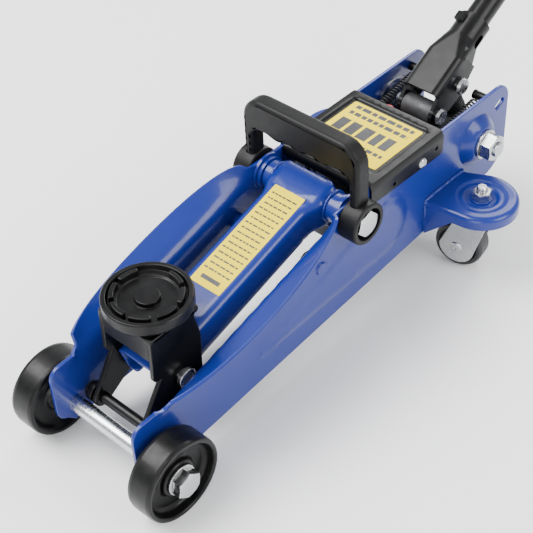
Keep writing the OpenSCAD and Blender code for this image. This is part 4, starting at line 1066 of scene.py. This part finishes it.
for side, name in ((1, "left"), (-1, "right")):
    flip = side < 0
    fork, rv, tyre = Shell(), Shell(), Shell()
    legc = arc(LEG_Y, CASTER_Z, 14.5, 178, 350, 24) + [(CY + 9, 44), (CY + 12, 56), (CY + 12, 60.4),
                                                       (CY - 12, 60.4), (CY - 12, 56)]
    legc = rounded(legc, [0] * 24 + [3, 6, 5, 1, 1, 6], 4)
    for dx in (-10, 10):
        cheek = plate(legc, flat_yz(CX + dx), 2.0, step=5, holes=[circle(LEG_Y, CASTER_Z, 3, 20)], rim=0.5)
        fork.add(*rested(cheek), mirror=flip)
    for ring in ([(4.05, 59), (17, 59), (17, 61.5), (4.05, 61.5)],
                 [(4.05, 57.2), (13, 57.2), (14.5, 59.1), (4.05, 59.1)]):
        fork.add(*lathe(rounded(ring, [0.2, 0.9, 0.7, 0.2], 3), (CX, CY, 0), (0, 0, 1), 64), mirror=flip)
    fork.done("caster_fork_%s_pressing" % name, "caster_swivel_" + name, "zinc", "caster_fork_" + name)
    c = (CX, LEG_Y, CASTER_Z)
    rv.add(*rested(lathe(disc(3, -11, 11, 0.2), c, (1, 0, 0), 32)), mirror=flip)
    for sx in (1, -1):
        dome = [(5 * math.cos(t), 11.0 + 1.6 * math.sin(t)) for t in np.radians([0, 15, 30, 45, 60, 75])]
        dome = [(0.0, 11.0)] + dome + [(1.3, 12.5), (0.8, 11.9), (0.0, 11.9)]
        rv.add(*rested(lathe(dome, c, (sx, 0, 0), 40)), mirror=flip)
    rv.done("caster_axle_%s_rivet" % name, "caster_swivel_" + name, "zinc", "caster_axle_" + name)
    w = 8.4
    prof = rounded([(3.05, -w), (8, -w), (9, -w + 2), (15, -w + 2), (16, -w), (18.6, -w), (20, -w + 2.5),
                    (20, w - 2.5), (18.6, w), (16, w), (15, w - 2), (9, w - 2), (8, w), (3.05, w)],
                   [0, .6, .6, .8, .6, .8, 1.4, 1.4, .8, .6, .8, .6, .6, 0], 3)
    tyre.add(*rested(lathe(prof, c, (1, 0, 0), 96)), mirror=flip)
    tyre.done("caster_wheel_%s_moulding" % name, "caster_wheel_" + name, "caster_tread",
              "caster_wheel_" + name)

king, knut = Shell(), Shell()
for side in (1, -1):
    c = (CX, side * CY, 0)
    king.add(*lathe([(0, 55.7), (6.0, 55.7), (8.0, 57.0), (8.0, 58.7), (4.0, 58.7), (4.0, 77.4), (3.2, 78.4),
                     (0, 78.4)], c, (0, 0, 1), 48))
    knut.add(*lathe(disc(8.0, 66.4, 67.8, 0.5, 4.0), c, (0, 0, 1), 64), mat=1)
    knut.add(*hexagon(13, 6.6, (CX, side * CY, 67.8), (0, 0, 1), 0.93, bore=4.0, spin=0.4), mat=0)
    knut.add(*lathe(disc(12, 61.8, 63.0, 0.4, 4.0), c, (0, 0, 1), 64), mat=0)
king.done("caster_kingpin_pair", "frame", "zinc", "caster_kingpins", angle=30, mats=["zinc_yellow"])
knut.done("caster_nut_set", "frame", "zinc", "caster_nuts", angle=25, mats=["zinc", "jack_blue"])

# -------------------------------- springs

STUD = (26 * math.sin(PHI), 112 - 26 * math.cos(PHI))
ANCHOR = (-172.0, 113.0)
SPRING_Y, HOOK_R, HOOK_LENGTH = 29.5, 3.2, 7.0


def coil(a, b, r, wire, turns, per=14, hooks=True, segs=8):
    """Wire wound from a to b, with a hook round each end of a tension spring."""
    a, b = np.array(a, float), np.array(b, float)
    x, y, z = basis(b - a)
    length = np.linalg.norm(b - a)
    pts = []
    start, end = (HOOK_LENGTH, length - HOOK_LENGTH) if hooks else (0.0, length)
    if hooks:
        for t in np.radians(np.arange(-160, 91, 15)):
            pts.append(a + z * (HOOK_R * math.sin(t)) + x * (HOOK_R * math.cos(t)))
        pts.append(a + z * 5.2 + x * 1.2)
    n = int(turns * per)
    for k in range(n + 1):
        t = TAU * k / per
        pts.append(a + z * (start + (end - start) * k / n) + r * (x * math.cos(t) + y * math.sin(t)))
    if hooks:
        pts.append(b - z * 5.2 + x * 1.2)
        for t in np.radians(np.arange(-90, 161, 15)):
            pts.append(b + z * (HOOK_R * math.sin(t)) + x * (HOOK_R * math.cos(t)))
    return sweep(pts, wire, segs)


def spring(name, mesh, near, far, node):
    """Makes a coil, fixed in place between a point on the frame and a point on another body, and hides the CAD
    node it stands for.
    """
    verts, faces = mesh
    me = bpy.data.meshes.new(name)
    me.from_pydata([tuple(p) for p in to_row(verts)], [], faces)
    me.materials.append(MAT["spring_black"])
    me.shade_smooth()
    o = bpy.data.objects.new(name, me)
    bpy.context.scene.collection.objects.link(o)
    near, far = to_row([near, far])
    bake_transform(o)
    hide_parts(node)


for side, name in ((1, "left"), (-1, "right")):
    wound = coil((STUD[0], side * SPRING_Y, STUD[1]), (ANCHOR[0], side * SPRING_Y, ANCHOR[1]), 3.62, 0.75, 48)
    spring("return_spring_" + name, wound, (ANCHOR[0], 0, ANCHOR[1]), (STUD[0], 0, STUD[1]),
           "return_springs")

# The plunger spring stands on the pump's seat, square to the plunger, and reaches up to the plunger's cap.
TILT = math.radians(29)
FULCRUM = np.array([-134.5, 0, 110.0])
ROLLER_ARM = (30, -1)
RR = math.hypot(*ROLLER_ARM)
RA = TILT + math.atan2(ROLLER_ARM[1], ROLLER_ARM[0])
LEAN = RA + math.radians(-2.5)
MIDR = FULCRUM + RR * np.array([-math.cos(LEAN), 0, math.sin(LEAN)])
PUMP = np.array([math.sin(LEAN), 0, math.cos(LEAN)])
cap_low = RR * math.sin(RA - LEAN) - 6.45 - 3.0
seat_p, cap_p = MIDR - PUMP * 36.4, MIDR + PUMP * (cap_low - 0.6)
spring("plunger_spring_coil", coil(seat_p, cap_p, 9.1, 0.75, 7.5, 24, hooks=False),
       seat_p, cap_p, "plunger_spring")

# -------------------------------- handle

H_X = np.array([math.cos(TILT), 0, -math.sin(TILT)])
H_Z = np.array([math.sin(TILT), 0, math.cos(TILT)])
SOCKET_AXIS = 7
rod0 = FULCRUM + H_Z * SOCKET_AXIS

hr = Shell()
hr.add(*lathe(disc(10.0, 56, 429, 0.6), rod0, -H_X, 72))
hr.done("handle_rod_tube", "pump_handle", "black_paint", "handle_rod")
grip = [(0.0, 432.0), (12.0, 432.0), (13.2, 431.5), (14.0, 430.0), (14.0, 421.5), (13.2, 420.2)]
x, groove_pitch = 419.5, 4.6
while x > 347:
    grip += [(12.9, x), (13.3, x - 0.8), (13.3, x - 2.2), (12.9, x - 3.0), (12.5, x - 3.4), (12.5, x - 4.2)]
    x -= groove_pitch
grip += [(13.2, 345.5), (14.0, 344.2), (14.0, 334.4), (12.6, 332.2), (10.0, 332.0), (10.0, 429.0),
         (0.0, 429.0)]
gs = Shell()
gs.add(*lathe(grip, rod0, -H_X, 96))
gs.done("handle_grip_sleeve", "pump_handle", "black_plastic", "handle_grip", angle=35)

# -------------------------------- nodes carried over from the CAD

for name in ("handle_socket", "handle_clamp_bolt", "fulcrum_pin", "roller_pin", "pump_block", "cylinder_head",
             "ram_yoke", "release_valve", "filler_plug", "pump_plunger", "spring_anchor_rod", "link_frame_pins",
             "pivot_collars", "pump_roller", "ram_pin", "spring_studs", "saddle_retainer", "reservoir_tube"):
    o = frame["nodes"][name]
    b = o.modifiers.new("edge", "BEVEL")
    b.width = 0.0009 if name == "handle_socket" else 0.0004
    b.segments = 2
    b.limit_method = "ANGLE"
    b.angle_limit = math.radians(35)
    b.harden_normals = True

finish_of = {s["node"]: s["material_slot"] for s in frame["record"]["subparts"]}
for name, o in frame["nodes"].items():
    if o.hide_render:
        continue
    o.data.materials.clear()
    o.data.materials.append(MAT[finish_of[name]])
    o.data.shade_smooth()
    o.data.set_sharp_from_angle(angle=math.radians(30))

# -------------------------------- stage, light and camera

floor = bpy.data.meshes.new("floor")
floor.from_pydata([(-6, -6, 0), (6, -6, 0), (6, 6, 0), (-6, 6, 0)], [], [(0, 1, 2, 3)])
floor_mat = bpy.data.materials.new("pale_floor")
floor_mat.use_nodes = True
floor_bsdf = floor_mat.node_tree.nodes["Principled BSDF"]
floor_bsdf.inputs["Base Color"].default_value = (0.93, 0.93, 0.93, 1)
floor_bsdf.inputs["Roughness"].default_value = 0.6
floor.materials.append(floor_mat)
floor_o = bpy.data.objects.new("floor", floor)
bpy.context.scene.collection.objects.link(floor_o)

world = bpy.data.worlds.new("studio")
bpy.context.scene.world = world
world.use_nodes = True
world.node_tree.nodes["Background"].inputs["Color"].default_value = (0.96, 0.98, 1.0, 1)
world.node_tree.nodes["Background"].inputs["Strength"].default_value = 0.85


def area_light(name, place, aim, size, power):
    data = bpy.data.lights.new(name, "AREA")
    data.shape = "RECTANGLE"
    data.size = data.size_y = size
    data.energy = power
    o = bpy.data.objects.new(name, data)
    o.location = place
    d = Vector(aim) - Vector(place)
    o.rotation_euler = d.to_track_quat("-Z", "Y").to_euler()
    bpy.context.scene.collection.objects.link(o)


middle = ((30 + SHIFT) / 1000, 0, 0.07)
area_light("key", (0.9, -0.9, 1.9), middle, 1.5, 95)
area_light("side", (-0.3, 1.8, 1.3), middle, 1.2, 34)
area_light("rear", (-1.5, -0.6, 1.2), middle, 1.0, 26)
area_light("front", (1.9, 0.9, 0.7), middle, 0.9, 16)

AZ, EL, ROLL = math.radians(44.6), math.radians(42.3), math.radians(-3.4)
back = Vector((math.cos(AZ) * math.cos(EL), math.sin(AZ) * math.cos(EL), math.sin(EL)))
right = (-back).cross(Vector((0, 0, 1))).normalized()
up = right.cross(-back)
right2 = right * math.cos(ROLL) + up * math.sin(ROLL)
up2 = up * math.cos(ROLL) - right * math.sin(ROLL)
target = Vector(((38.2 + SHIFT) / 1000, -0.0066, 0.0623))
cam = bpy.data.cameras.new("camera")
cam.lens = 88.09
cam.sensor_width = 36
cam.clip_start = 0.01
cam_o = bpy.data.objects.new("camera", cam)
cam_o.matrix_world = Matrix.Translation(target + back * 0.9496) @ Matrix(
    (right2, up2, back)).transposed().to_4x4()
bpy.context.scene.collection.objects.link(cam_o)
bpy.context.scene.camera = cam_o
